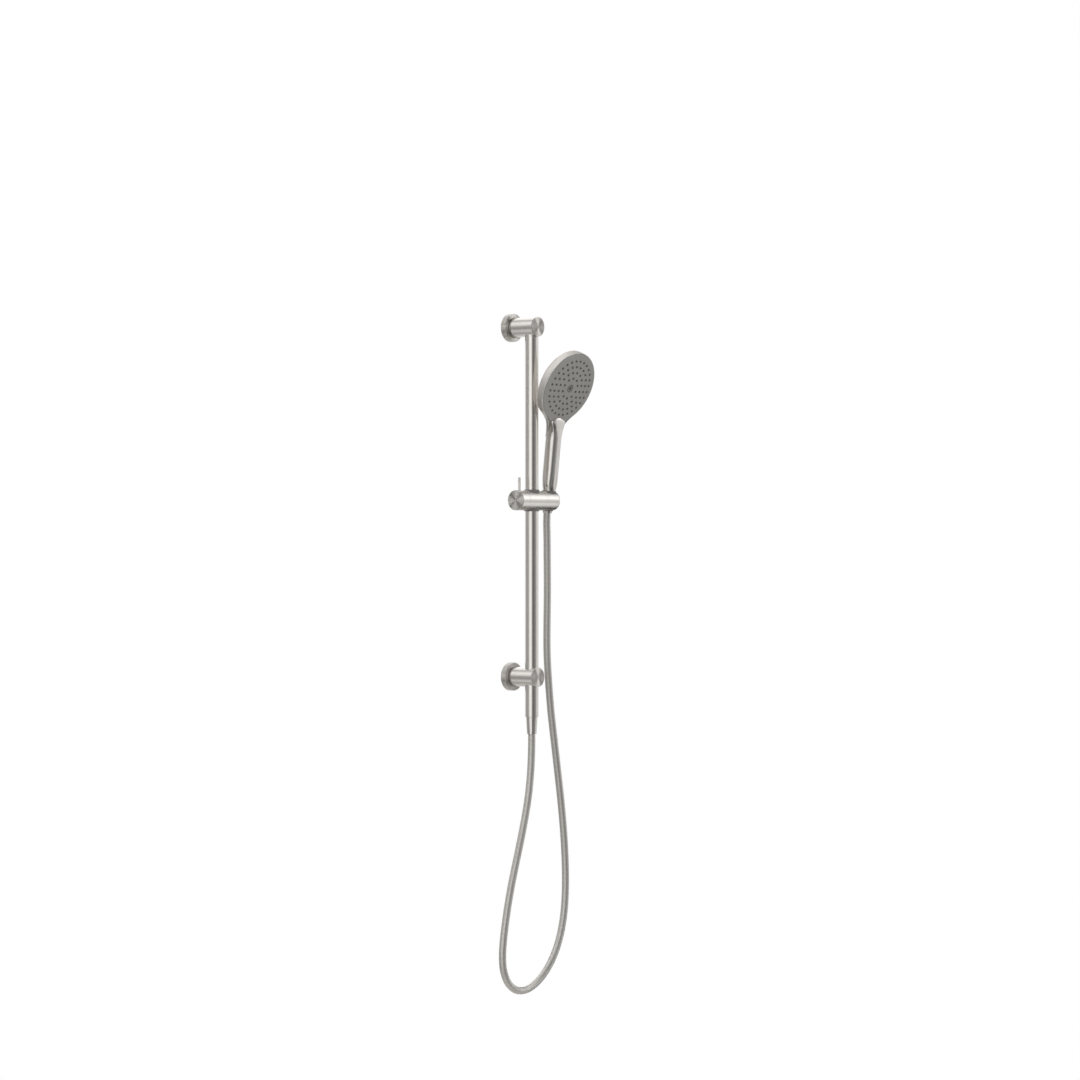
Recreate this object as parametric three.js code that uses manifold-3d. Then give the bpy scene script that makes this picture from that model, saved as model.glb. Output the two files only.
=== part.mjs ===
// Sliding shower rail with a hand shower: two wall brackets, a round rail, a slider with a
// tilting cone holder, the hand shower, and the hose that feeds it from the lower bracket.
// Millimetres. Z is up and -Y points out of the wall. The origin is the middle of the
// upper bracket's wall plate, on the wall.
import * as THREE from 'three';
import { mergeVertices } from 'three/addons/utils/BufferGeometryUtils.js';
import Module from 'manifold-3d';

const wasm = await Module();
wasm.setup();

// Driving dimensions

const railSpacing = 660; // between the two bracket axes
const railRadius = 12.5;
const railWall = 1.5;
const armRadius = 18.5;
const armReach = 70; // from the wall to the outer face of the end cap
const railSetback = 16; // from the outer face of the end cap back to the rail's axis
const railOffset = armReach - railSetback; // from the wall to the rail's axis
const roseRadius = 26.5;
const roseThickness = 12;
const sliderDrop = 327; // from the upper bracket's axis down to the slider's axis
const sliderRadius = 19;
const knobReach = 47.5; // from the rail's axis to the knob's outer face
const holderReach = 63; // from the rail's axis to the holder's outer end
const socketOffset = 49; // from the rail's axis to the axis of the cone socket
const holderTilt = 6.5; // degrees that the hand shower leans out of the wall
const headRadius = 69.8;
const headThickness = 19;
const rimThickness = 15; // straight side of the head
const passGap = 1.2; // between the back of the head and the brackets' ends
const wingThickness = 12; // of the neck's sides, where they join the head
const faceHeight = 217; // from the slider's axis up the handle to the middle of the spray face
const faceReach = 26; // from the handle's axis out to the middle of the spray face
const facePitch = 17; // degrees between the spray face and the handle's axis
const handleHalfWidth = 15.5;
const handleHalfDepth = 12;
const hoseRadius = 6.9;
const outletDrop = 75; // from the lower bracket's axis down to the end of the outlet tube

// Clearances and how round things are

const gap = 0.3; // between pieces that touch
const slideGap = 0.35; // between the rail and the sleeves that run on it
const overrun = 1; // how far a cut passes the face it opens
const fineSides = 32;
const plainSides = 20;
const smallSides = 12;
const nozzleSides = 6;

// Wall plate, rose, arm and end cap

const plateRadius = 21;
const plateThickness = 4;
const plateBossRadius = 10;
const plateBossLength = 16;
const plateHoleOffset = 14.5; // from the plate's middle to each screw hole
const plateHoleRadius = 2.6;
const roseLip = 3; // thickness of the rose's front wall
const roseWall = 3;
const roseEdge = 1.2; // chamfer round the front of the rose
const capThickness = 1.5;
const capEdge = 0.5;
const capSpigotRadius = 4.5;
const capSpigotLength = 5.5;
const railSocketDepth = 12.5; // how far the rail and the outlet tube enter an arm
const grubRadius = 2.5;
const grubHexRadius = 1.3;
const grubHexDepth = 3;

// Water way through the lower bracket

const inletRadius = 9.3; // female thread that screws on to the pipe in the wall
const inletDepth = 15;
const waterRadius = 5;
const sealThickness = 2;
const outletBore = 7;
const threadRadius = 9.2;
const threadLength = 12;
const valveLength = 18;
const valveBore = 2.6;

// Hose ends

const washerThickness = 1.6;
const flangeThickness = 2.6;
const flangeBore = 4;
const lowerNutTopRadius = 11.3;
const lowerNutBottomRadius = 9.4;
const lowerNutLength = 32;
const coneRadius = 10.4; // of the seat at the slider's axis
const coneSlope = 0.07; // radius gained for each millimetre up the seat
const nutTop = 4; // above the slider's axis, where the upper nut meets the handle
const upperNutLength = 27.5;
const upperNutFoot = 8.2; // radius of the upper nut's lower end
const upperNutWaist = 26; // from the nut's top to where its taper eases

// Slider, knob and clamp

const sleeveWall = 1.5;
const sleeveProud = 1.3; // how far a sleeve stands above the slider
const sleeveLength = 12;
const knobInner = 24.5; // from the rail's axis to the joint between the slider and the knob
const holderInner = 22.5; // from the rail's axis to the joint between the slider and holder
const padRadius = 6;
const padLength = 6;
const spindleRadius = 4.5;
const leverRadius = 2.5;
const leverReach = 43.5; // from the slider's axis to the tip of the lever
const leverRoot = 8; // from the slider's axis to the foot of the lever
const leverInset = 11.1; // from the knob's outer face to the lever
const stubRadius = 7;
const stubLength = 7;
const ringWall = 1.5;
const linerWall = 1.5;
const slotHalfWidth = 8.2;
const holderEdge = 2.5;
const boltRadius = 2;
const boltHeadRadius = 3.4;
const boltHeadLength = 2.4;

// Hand shower

const shellWall = 2.2;
const faceThickness = 2.5;
const faceProud = 0.8; // how far the edge of the spray face stands out of the shell
const faceDome = 3; // how much further its middle stands out
const faceEdge = 0.8;
const matThickness = 1.5;
const nozzleRadius = 1.7;
const nozzleTipRadius = 1.1;
const nozzleProud = 1.2;
const centreNozzleRadius = 8;
const centreSink = 0.8; // how far the middle jet lies below the dome
const chamberThickness = 4;
const boreRadius = 6.5; // water way up the handle
const inletPlugLength = 16;
const inletThreadLength = 11;

// Shared tools

const DOWN_THE_WALL = Math.PI / 2; // turns local +Z to point out of the wall
const ALONG_X = Math.PI / 2; // turns local +Z to point along +X
const radians = THREE.MathUtils.degToRad;

function solidFrom(geometry) {
  const bare = geometry.index ? geometry.clone() : mergeVertices(geometry);
  bare.deleteAttribute('normal');
  bare.deleteAttribute('uv');
  const merged = mergeVertices(bare);
  const source = merged.index.array;
  const kept = [];
  for (let i = 0; i < source.length; i += 3) {
    const [a, b, c] = [source[i], source[i + 1], source[i + 2]];
    if (a !== b && b !== c && c !== a) {
      kept.push(a, b, c);
    }
  }
  const build = (triangles) =>
    new wasm.Manifold(
      new wasm.Mesh({
        numProp: 3,
        vertProperties: new Float32Array(merged.attributes.position.array),
        triVerts: new Uint32Array(triangles),
      }),
    );
  const solid = build(kept);
  return solid.volume() < 0 ? build(kept.reverse()) : solid;
}

function geometryFrom(solid) {
  const mesh = solid.getMesh();
  const geometry = new THREE.BufferGeometry();
  geometry.setAttribute('position', new THREE.BufferAttribute(mesh.vertProperties, mesh.numProp));
  geometry.setIndex(new THREE.BufferAttribute(mesh.triVerts, 1));
  const shown = geometry.toNonIndexed();
  shown.computeVertexNormals();
  return shown;
}

// A turned solid about Z. Each profile point is [radius, height].
function turned(profile, sides = fineSides) {
  const points = profile.map(([radius, height]) => new THREE.Vector2(radius, height));
  const first = points[0];
  const last = points[points.length - 1];
  if (first.x > 0 || last.x > 0) {
    points.push(first.clone());
  }
  const geometry = new THREE.LatheGeometry(points, sides);
  geometry.rotateX(Math.PI / 2);
  return solidFrom(geometry);
}

function rod(radius, low, high, sides = fineSides) {
  return turned([[0, low], [radius, low], [radius, high], [0, high]], sides);
}

function cone(lowRadius, highRadius, low, high, sides = fineSides) {
  return turned([[0, low], [lowRadius, low], [highRadius, high], [0, high]], sides);
}

function tube(inner, outer, low, high, sides = fineSides) {
  return turned([[inner, low], [outer, low], [outer, high], [inner, high]], sides);
}

function block(low, high) {
  const size = new THREE.Vector3().subVectors(high, low);
  const middle = new THREE.Vector3().addVectors(low, high).multiplyScalar(1 / 2);
  const geometry = new THREE.BoxGeometry(size.x, size.y, size.z);
  geometry.translate(middle.x, middle.y, middle.z);
  return solidFrom(geometry);
}

function moved(solid, x, y, z) {
  return solid.translate([x, y, z]);
}

// Turned about X, Y and Z by degrees.
function turnedBy(solid, x, y, z) {
  return solid.rotate([x, y, z]);
}

const quarterTurn = 90;
const alongX = (solid) => turnedBy(solid, 0, quarterTurn, 0);
const alongY = (solid) => turnedBy(solid, quarterTurn, 0, 0);

// A solid through rings of points, all with as many points, closed by a flat face at each end.
function loft(rings) {
  const count = rings[0].length;
  const corners = rings.flat();
  const faces = [];
  for (let r = 0; r + 1 < rings.length; r += 1) {
    for (let i = 0; i < count; i += 1) {
      const a = r * count + i;
      const b = r * count + ((i + 1) % count);
      faces.push(a, b, b + count, a, b + count, a + count);
    }
  }
  const last = (rings.length - 1) * count;
  for (let i = 1; i + 1 < count; i += 1) {
    faces.push(0, i + 1, i);
    faces.push(last, last + i, last + i + 1);
  }
  const geometry = new THREE.BufferGeometry();
  geometry.setAttribute(
    'position',
    new THREE.Float32BufferAttribute(corners.flatMap((p) => [p.x, p.y, p.z]), 3),
  );
  geometry.setIndex(faces);
  return solidFrom(geometry);
}

// A level ring with soft corners: squareness 2 is an ellipse, and more is squarer.
function softRing(halfWidth, halfDepth, middleY, height, squareness, sides = fineSides) {
  const ring = [];
  for (let i = 0; i < sides; i += 1) {
    const angle = (2 * Math.PI * i) / sides;
    const power = 2 / squareness;
    const x = halfWidth * Math.sign(Math.cos(angle)) * Math.abs(Math.cos(angle)) ** power;
    const y = halfDepth * Math.sign(Math.sin(angle)) * Math.abs(Math.sin(angle)) ** power;
    ring.push(new THREE.Vector3(x, middleY + y, height));
  }
  return ring;
}

const finishes = {
  brushedNickel: { color: 0xb9b4ac, roughness: 0.32, metalness: 1 },
  chrome: { color: 0xc9c9c7, roughness: 0.2, metalness: 1 },
  steel: { color: 0x9a9a98, roughness: 0.4, metalness: 1 },
  brass: { color: 0xb5a36a, roughness: 0.4, metalness: 1 },
  greyPlastic: { color: 0x7f7e7b, roughness: 0.6, metalness: 0 },
  greySilicone: { color: 0x4f4f4d, roughness: 0.8, metalness: 0 },
  blackRubber: { color: 0x1c1c1c, roughness: 0.9, metalness: 0 },
  whitePlastic: { color: 0xe6e6e2, roughness: 0.5, metalness: 0 },
  hoseSkin: { color: 0xb4b1ab, roughness: 0.35, metalness: 0.6 },
};

function piece(parent, name, solid, finish) {
  const material = new THREE.MeshStandardMaterial(finishes[finish]);
  const mesh = new THREE.Mesh(geometryFrom(solid), material);
  mesh.name = name;
  parent.add(mesh);
  return mesh;
}

function groupAt(parent, x, y, z) {
  const group = new THREE.Group();
  group.position.set(x, y, z);
  parent.add(group);
  return group;
}

const shower = new THREE.Group();

// Wall brackets. In a bracket's own frame +Z points out of the wall and +Y up.

const armLength = armReach - capThickness - gap;
const railSocket = railRadius + gap;
const socketFloor = armRadius - railSocketDepth; // from the arm's axis to the end of the rail
const railEnd = socketFloor + gap;

function roseSolid() {
  const hole = armRadius + gap;
  const inside = roseRadius - roseWall;
  const front = roseThickness;
  return turned([
    [inside, 0],
    [roseRadius, 0],
    [roseRadius, front - roseEdge],
    [roseRadius - roseEdge, front],
    [hole, front],
    [hole, front - roseLip],
    [inside, front - roseLip],
  ]);
}

function armSolid(start) {
  const seat = rod(capSpigotRadius + gap, armLength - capSpigotLength - gap, armReach, plainSides);
  return rod(armRadius, start, armLength).subtract(seat);
}

function railHole(from, to) {
  return moved(alongY(rod(railSocket, from, to)), 0, 0, railOffset);
}

function endCapSolid() {
  const spigot = rod(capSpigotRadius, armLength - capSpigotLength, armReach - capEdge, plainSides);
  const disc = turned([
    [0, armReach - capThickness],
    [armRadius, armReach - capThickness],
    [armRadius, armReach - capEdge],
    [armRadius - capEdge, armReach],
    [0, armReach],
  ]);
  return disc.add(spigot);
}

const grubPlace = roseThickness + grubRadius + roseEdge;

function grubSolid() {
  const head = armRadius - gap;
  const body = rod(grubRadius, plateBossRadius + gap, head, smallSides);
  const key = rod(grubHexRadius, head - grubHexDepth, head + overrun, nozzleSides);
  return moved(alongY(body.subtract(key)), 0, 0, grubPlace);
}

function grubHole() {
  const hole = rod(grubRadius + gap, plateBossRadius, armRadius + overrun, smallSides);
  return moved(alongY(hole), 0, 0, grubPlace);
}

const upperBracket = groupAt(shower, 0, 0, 0);
upperBracket.rotation.x = DOWN_THE_WALL;

function wallPlateSolid() {
  const boss = rod(plateBossRadius, 0, plateThickness + plateBossLength, plainSides);
  let plate = rod(plateRadius, 0, plateThickness).add(boss);
  for (const side of [-1, 1]) {
    const sink = cone(
      plateHoleRadius,
      plateHoleRadius + plateThickness,
      0,
      plateThickness + gap,
      smallSides,
    );
    const shank = rod(plateHoleRadius, -overrun, plateThickness + overrun, smallSides);
    plate = plate.subtract(moved(sink.add(shank), side * plateHoleOffset, 0, 0));
  }
  return plate;
}

const armStart = plateThickness + gap;
const bossHole = rod(plateBossRadius + gap, 0, plateThickness + plateBossLength + gap, plainSides);
const upperArmSolid = armSolid(armStart)
  .subtract(bossHole)
  .subtract(railHole(socketFloor, armRadius + overrun))
  .subtract(grubHole());

piece(upperBracket, 'upper_wall_plate', wallPlateSolid(), 'steel');
piece(upperBracket, 'upper_rose', roseSolid(), 'brushedNickel');
piece(upperBracket, 'upper_arm', upperArmSolid, 'brushedNickel');
piece(upperBracket, 'upper_end_cap', endCapSolid(), 'brushedNickel');
piece(upperBracket, 'upper_arm_grub_screw', grubSolid(), 'steel');

const lowerBracket = groupAt(shower, 0, 0, -railSpacing);
lowerBracket.rotation.x = DOWN_THE_WALL;

const inletHole = rod(inletRadius, -overrun, inletDepth, plainSides);
const throughWay = rod(waterRadius, 0, railOffset + waterRadius, smallSides);
const downWay = moved(alongY(rod(waterRadius, 0, armRadius, smallSides)), 0, 0, railOffset);
const lowerArmSolid = armSolid(0)
  .subtract(railHole(-armRadius - overrun, -socketFloor))
  .subtract(railHole(socketFloor, armRadius + overrun))
  .subtract(inletHole)
  .subtract(throughWay)
  .subtract(downWay);
const inletSeal = tube(
  waterRadius,
  inletRadius - gap,
  inletDepth - sealThickness - gap,
  inletDepth - gap,
  plainSides,
);

piece(lowerBracket, 'lower_rose', roseSolid(), 'brushedNickel');
piece(lowerBracket, 'lower_arm', lowerArmSolid, 'brushedNickel');
piece(lowerBracket, 'lower_end_cap', endCapSolid(), 'brushedNickel');
piece(lowerBracket, 'inlet_seal', inletSeal, 'blackRubber');

// Rail and outlet tube, in a frame on the rail's axis

const railFrame = groupAt(shower, 0, -railOffset, 0);
const railTube = tube(railRadius - railWall, railRadius, railEnd - railSpacing, -railEnd);
piece(railFrame, 'rail_tube', railTube, 'brushedNickel');

const outletFrame = groupAt(shower, 0, -railOffset, -railSpacing);
const outletEnd = -outletDrop;
const threadEnd = outletEnd - threadLength;
const outletTop = -railEnd;
const valveTop = outletEnd + valveLength;
const outletSolid = turned([
  [waterRadius, outletTop],
  [waterRadius, valveTop + gap],
  [outletBore, valveTop + gap],
  [outletBore, threadEnd],
  [threadRadius, threadEnd],
  [threadRadius, outletEnd],
  [railRadius, outletEnd],
  [railRadius, outletTop],
]);
const valveSolid = tube(valveBore, outletBore - gap, valveTop - valveLength, valveTop, plainSides);
piece(outletFrame, 'outlet_tube', outletSolid, 'brushedNickel');
piece(outletFrame, 'check_valve', valveSolid, 'whitePlastic');

// Hose end fittings: a washer on the thread, the flange of the hose's tail and the nut

function washerSolid(threadFace, down) {
  const near = threadFace + down * gap;
  const far = near + down * washerThickness;
  return tube(flangeBore, threadRadius, Math.min(near, far), Math.max(near, far), plainSides);
}

function flangeSolid(threadFace, down) {
  const near = threadFace + down * (gap + washerThickness + gap);
  const far = near + down * flangeThickness;
  return tube(flangeBore, threadRadius, Math.min(near, far), Math.max(near, far), plainSides);
}

const endStack = gap + washerThickness + gap + flangeThickness + gap;
const nutBore = threadRadius + gap;
const lipBore = hoseRadius + gap;
const lowerNutHigh = outletEnd - gap;
const lowerNutLow = lowerNutHigh - lowerNutLength;
const lowerHoseEnd = threadEnd - endStack;
const lowerNut = turned([
  [nutBore, lowerNutHigh],
  [lowerNutTopRadius, lowerNutHigh],
  [lowerNutBottomRadius, lowerNutLow],
  [lipBore, lowerNutLow],
  [lipBore, lowerHoseEnd],
  [nutBore, lowerHoseEnd],
]);
piece(outletFrame, 'outlet_washer', washerSolid(threadEnd, -1), 'blackRubber');
piece(outletFrame, 'lower_hose_flange', flangeSolid(threadEnd, -1), 'brass');
piece(outletFrame, 'lower_hose_nut', lowerNut, 'brushedNickel');

// Slider, in a frame where the slider's axis crosses the rail's

const slider = groupAt(shower, 0, -railOffset, -sliderDrop);
const sleeveInner = railRadius + slideGap;
const sleeveOuter = sleeveInner + sleeveWall;
const sleeveTop = sliderRadius + sleeveProud;
const sleeveFoot = sleeveTop - sleeveLength;
const sleeveBore = sleeveOuter + gap;

piece(slider, 'upper_rail_sleeve', tube(sleeveInner, sleeveOuter, sleeveFoot, sleeveTop), 'greyPlastic');
piece(slider, 'lower_rail_sleeve', tube(sleeveInner, sleeveOuter, -sleeveTop, -sleeveFoot), 'greyPlastic');

const padInner = railRadius + gap; // where the pad faces the rail
const padOuter = padInner + padLength;
const padSolid = alongX(rod(padRadius, -padOuter, 0, plainSides))
  .subtract(rod(padInner, -sliderRadius, sliderRadius));
const clampBore = alongX(rod(padRadius + gap, -knobInner - overrun, 0, plainSides));
const holderFace = holderInner + gap;
const stubEnd = holderInner + stubLength;
const boltBore = alongX(rod(boltRadius + gap, 0, stubEnd + overrun, smallSides));
const sliderSolid = alongX(rod(sliderRadius, -knobInner, holderInner))
  .add(alongX(rod(stubRadius, 0, stubEnd, plainSides)))
  .subtract(rod(sleeveBore, -sliderRadius - overrun, sliderRadius + overrun))
  .subtract(clampBore)
  .subtract(boltBore);
piece(slider, 'brake_pad', padSolid, 'blackRubber');
piece(slider, 'slider_body', sliderSolid, 'brushedNickel');

// Locking knob on the end of the slider

const knobStart = -knobInner - gap;
const knobFront = -knobReach + capThickness + gap;
const spindleStart = -padOuter - gap;
const spindleEnd = knobFront + capSpigotLength + gap;
const leverPlace = -knobReach + leverInset;
const knobSolid = alongX(rod(sliderRadius, knobFront, knobStart))
  .subtract(alongX(rod(spindleRadius + gap, knobFront - overrun, knobStart + overrun, smallSides)))
  .subtract(moved(rod(leverRadius + gap, 0, sliderRadius + overrun, smallSides), leverPlace, 0, 0));
const spindleSolid = alongX(rod(spindleRadius, spindleEnd, spindleStart, smallSides));
const knobCapSolid = turned([
  [0, capThickness],
  [sliderRadius, capThickness],
  [sliderRadius, capEdge],
  [sliderRadius - capEdge, 0],
  [0, 0],
]).add(rod(capSpigotRadius - gap, capEdge, capThickness + capSpigotLength, plainSides));
const leverFoot = Math.max(leverRoot, spindleRadius + gap);
const leverSolid = turned([
  [0, leverFoot],
  [leverRadius, leverFoot],
  [leverRadius, leverReach - leverRadius / 2],
  [leverRadius / 2, leverReach],
  [0, leverReach],
], smallSides);

piece(slider, 'lock_knob', knobSolid, 'brushedNickel');
piece(slider, 'clamp_spindle', spindleSolid, 'steel');
piece(slider, 'knob_cap', moved(alongX(knobCapSolid), -knobReach, 0, 0), 'brushedNickel');
piece(slider, 'lever_pin', moved(leverSolid, leverPlace, 0, 0), 'brushedNickel');

// Tilting holder with its cone socket, in a frame that leans with the hand shower

const holder = groupAt(slider, 0, 0, 0);
holder.rotation.x = radians(holderTilt);

const seatRadius = (height) => coneRadius + coneSlope * height;
const seatHigh = sliderRadius + overrun;

function seatCone(extra, low, high) {
  return cone(seatRadius(low) + extra, seatRadius(high) + extra, low, high);
}

const linerOuter = gap + linerWall;
const hoseSlot = block(
  new THREE.Vector3(0, -slotHalfWidth, -seatHigh),
  new THREE.Vector3(holderReach, slotHalfWidth, seatHigh),
);
const wideSlot = block(
  new THREE.Vector3(0, -slotHalfWidth + gap, -seatHigh),
  new THREE.Vector3(holderReach, slotHalfWidth - gap, seatHigh),
);
const holderShape = alongX(turned([
  [0, holderFace],
  [sliderRadius, holderFace],
  [sliderRadius, holderReach - holderEdge],
  [sliderRadius - holderEdge, holderReach],
  [0, holderReach],
]));
const ringBore = stubRadius + gap + ringWall + gap;
const headPocket = socketOffset - seatRadius(0) - linerOuter - boltHeadLength;
const holderSolid = holderShape
  .subtract(moved(seatCone(linerOuter + gap, -seatHigh, seatHigh), socketOffset, 0, 0))
  .subtract(moved(wideSlot, socketOffset, 0, 0))
  .subtract(alongX(rod(ringBore, holderInner - overrun, stubEnd + gap, plainSides)))
  .subtract(alongX(rod(boltRadius + gap, 0, socketOffset, smallSides)))
  .subtract(alongX(rod(boltHeadRadius + gap, headPocket - gap, socketOffset, smallSides)));
const linerSolid = seatCone(linerOuter, -sliderRadius, sliderRadius)
  .subtract(seatCone(gap, -seatHigh, seatHigh))
  .subtract(hoseSlot);
const frictionRing = alongX(
  tube(stubRadius + gap, stubRadius + gap + ringWall, holderFace, stubEnd, plainSides),
);
const boltSolid = alongX(rod(boltRadius, sleeveBore + gap, headPocket, smallSides))
  .add(alongX(rod(boltHeadRadius, headPocket, headPocket + boltHeadLength - gap, smallSides)));

piece(holder, 'holder_body', holderSolid, 'brushedNickel');
piece(holder, 'holder_liner', moved(linerSolid, socketOffset, 0, 0), 'greyPlastic');
piece(holder, 'friction_ring', frictionRing, 'blackRubber');
piece(holder, 'holder_bolt', boltSolid, 'steel');

// Hand shower. +Z runs up the handle, -Y is its front, and the seat's cone is at the bottom.

const handset = groupAt(holder, socketOffset, 0, 0);
const handleFoot = nutTop + gap;
const pitch = radians(facePitch);
const faceMiddle = new THREE.Vector3(0, -faceReach, faceHeight);

// Places a solid made about Z, with its front at height zero and its back above, on the face.
function onFace(solid) {
  const laid = turnedBy(solid, facePitch - quarterTurn, 0, 0);
  return moved(laid, faceMiddle.x, faceMiddle.y, faceMiddle.z);
}

const facePlaneAt = (height) => -faceReach + (faceHeight - height) * Math.tan(pitch);

// The head's domed back: radii as shares of the head's, and how far the dome has risen.
const backShares = [
  { radiusShare: 0.97, riseShare: 0.26 },
  { radiusShare: 0.88, riseShare: 0.58 },
  { radiusShare: 0.6, riseShare: 0.9 },
];
const headShape = turned([
  [0, 0],
  [headRadius, 0],
  [headRadius, rimThickness],
  ...backShares.map(({ radiusShare, riseShare }) => [
    headRadius * radiusShare,
    rimThickness + (headThickness - rimThickness) * riseShare,
  ]),
  [0, headThickness],
]);

// Handle sections: heights, half widths, and where the front and back lie, as shares of the
// handle's length, half width and half depth. At the top it widens to a tongue over the face.
const neckHeight = faceHeight - headRadius * Math.cos(pitch);
const gripRows = [
  { heightShare: 0.173, widthShare: 0.86, frontShare: 1.0, backShare: 1.0 },
  { heightShare: 0.266, widthShare: 0.97, frontShare: 1.0, backShare: 1.0 },
  { heightShare: 0.366, widthShare: 1.0, frontShare: 1.0, backShare: 1.0 },
  { heightShare: 0.812, widthShare: 1.0, frontShare: 1.0, backShare: 1.0 },
  { heightShare: 0.872, widthShare: 1.05, frontShare: 1.0, backShare: 0.98 },
  { heightShare: 0.925, widthShare: 1.15, frontShare: 1.0, backShare: 0.9 },
  { heightShare: 0.968, widthShare: 1.27, frontShare: 0.99, backShare: 0.75 },
  { heightShare: 0.992, widthShare: 1.34, frontShare: 0.98, backShare: 0.6 },
  { heightShare: 1.012, widthShare: 1.3, frontShare: 0.97, backShare: 0.5 },
  { heightShare: 1.028, widthShare: 1.12, frontShare: 0.95, backShare: 0.4 },
  { heightShare: 1.042, widthShare: 0.86, frontShare: 0.92, backShare: 0.3 },
  { heightShare: 1.052, widthShare: 0.5, frontShare: 0.88, backShare: 0.2 },
];
const gripSquareness = 3;
const roundSquareness = 2;
const coneHigh = sliderRadius;
const handleBack = handleHalfDepth;
const gripRings = [
  softRing(seatRadius(handleFoot), seatRadius(handleFoot), 0, handleFoot, roundSquareness),
  softRing(seatRadius(coneHigh), seatRadius(coneHigh), 0, coneHigh, roundSquareness),
  ...gripRows.map(({ heightShare, widthShare, frontShare, backShare }) => {
    const front = -handleHalfDepth * frontShare;
    const halfDepth = (handleBack * backShare - front) / 2;
    const width = handleHalfWidth * widthShare;
    const height = neckHeight * heightShare;
    return softRing(width, halfDepth, front + halfDepth, height, gripSquareness);
  }),
];

// Neck that flares from the handle to the round head, behind the plane of the spray face.
const neckRows = [
  { heightShare: 0.7, widthShare: 0.215 },
  { heightShare: 0.82, widthShare: 0.243 },
  { heightShare: 0.91, widthShare: 0.276 },
  { heightShare: 0.96, widthShare: 0.328 },
  { heightShare: 1.01, widthShare: 0.405 },
  { heightShare: 1.058, widthShare: 0.51 },
  { heightShare: 1.097, widthShare: 0.617 },
];
const wingBackAt = (height) => facePlaneAt(height) + wingThickness / Math.cos(pitch);
const neckRings = neckRows.map(({ heightShare, widthShare }) => {
  const height = neckHeight * heightShare;
  const front = Math.min(facePlaneAt(height), 0);
  const back = Math.min(wingBackAt(height), handleBack);
  const halfDepth = (back - front) / 2;
  return softRing(headRadius * widthShare, halfDepth, front + halfDepth, height, gripSquareness);
});

// Spine that carries the back of the handle up on to the head.
const spineRows = [
  { heightShare: 0.9, widthShare: 0.96, backShare: 1.0 },
  { heightShare: 1.02, widthShare: 0.9, backShare: 0.98 },
  { heightShare: 1.08, widthShare: 0.85, backShare: 0.84 },
  { heightShare: 1.2, widthShare: 0.6, backShare: 0.3 },
];
const spineRings = spineRows.map(({ heightShare, widthShare, backShare }) => {
  const height = neckHeight * heightShare;
  const back = handleBack * backShare;
  const front = Math.min(facePlaneAt(height) + wingThickness / 2, 0);
  const halfDepth = (back - front) / 2;
  const halfWidth = handleHalfWidth * widthShare;
  return softRing(halfWidth, halfDepth, front + halfDepth, height, gripSquareness);
});

const faceRadius = headRadius - shellWall / 2;
const facePocket = faceThickness - faceProud + gap;
const matFront = faceThickness - faceProud + gap;
const matBack = matFront + matThickness;
const chamberBack = matBack + gap + chamberThickness;
const cavityBack = chamberBack + gap;
const cavityRadius = headRadius - shellWall * 2;

// The tail of the spray face, down the neck: how far from the middle, and half widths, as shares
// of the head's radius.
const tailShares = [
  { reachShare: 0.78, widthShare: 0.598 },
  { reachShare: 0.85, widthShare: 0.505 },
  { reachShare: 0.92, widthShare: 0.425 },
  { reachShare: 0.98, widthShare: 0.345 },
];
const tailEndShare = tailShares[tailShares.length - 1].reachShare;
const tailEndHeight = faceHeight - headRadius * tailEndShare * Math.cos(pitch);

function tailSolid(extra, front, back) {
  const edge = tailShares.map(({ reachShare, widthShare }, i) => {
    const pastEnd = i === tailShares.length - 1 ? extra : 0;
    const width = headRadius * widthShare + extra;
    return new THREE.Vector2(width, headRadius * reachShare + pastEnd);
  });
  const mirrored = edge.map((p) => new THREE.Vector2(-p.x, p.y)).reverse();
  const shape = new THREE.Shape([...edge, ...mirrored]);
  const geometry = new THREE.ExtrudeGeometry(shape, { depth: back - front, bevelEnabled: false });
  geometry.translate(0, 0, front);
  return solidFrom(geometry);
}

// Water way: up the handle, on behind the tail of the spray face, then forward to the head.
const wayHalfWidth = 7;
const wayDepth = 6;
const wayWall = 1.2; // between the way and the pocket that the tail lies in
const wayRise = 5; // how far the way goes past the lower edge of the head's hollow
const wayTurn = 4.5; // height of the way's mouth in the head
const boreTopShare = 0.86; // of the neck's height
const wayLap = 4; // how far the way and the bore run side by side
const wayFront = facePlaneAt(tailEndHeight) + (facePocket + wayWall) / Math.cos(pitch);
const wayBack = wayFront + wayDepth;
const wayTop = faceHeight - cavityRadius * Math.cos(pitch) + wayRise;
const wayMouth = facePlaneAt(wayTop) + matBack / Math.cos(pitch);
const boreTop = neckHeight * boreTopShare;
const handleWay = rod(boreRadius, 0, boreTop, plainSides)
  .add(block(
    new THREE.Vector3(-wayHalfWidth, wayFront, boreTop - wayLap),
    new THREE.Vector3(wayHalfWidth, wayBack, wayTop),
  ))
  .add(block(
    new THREE.Vector3(-wayHalfWidth, wayMouth, wayTop - wayTurn),
    new THREE.Vector3(wayHalfWidth, wayBack, wayTop),
  ));
const grip = loft(gripRings);

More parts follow.
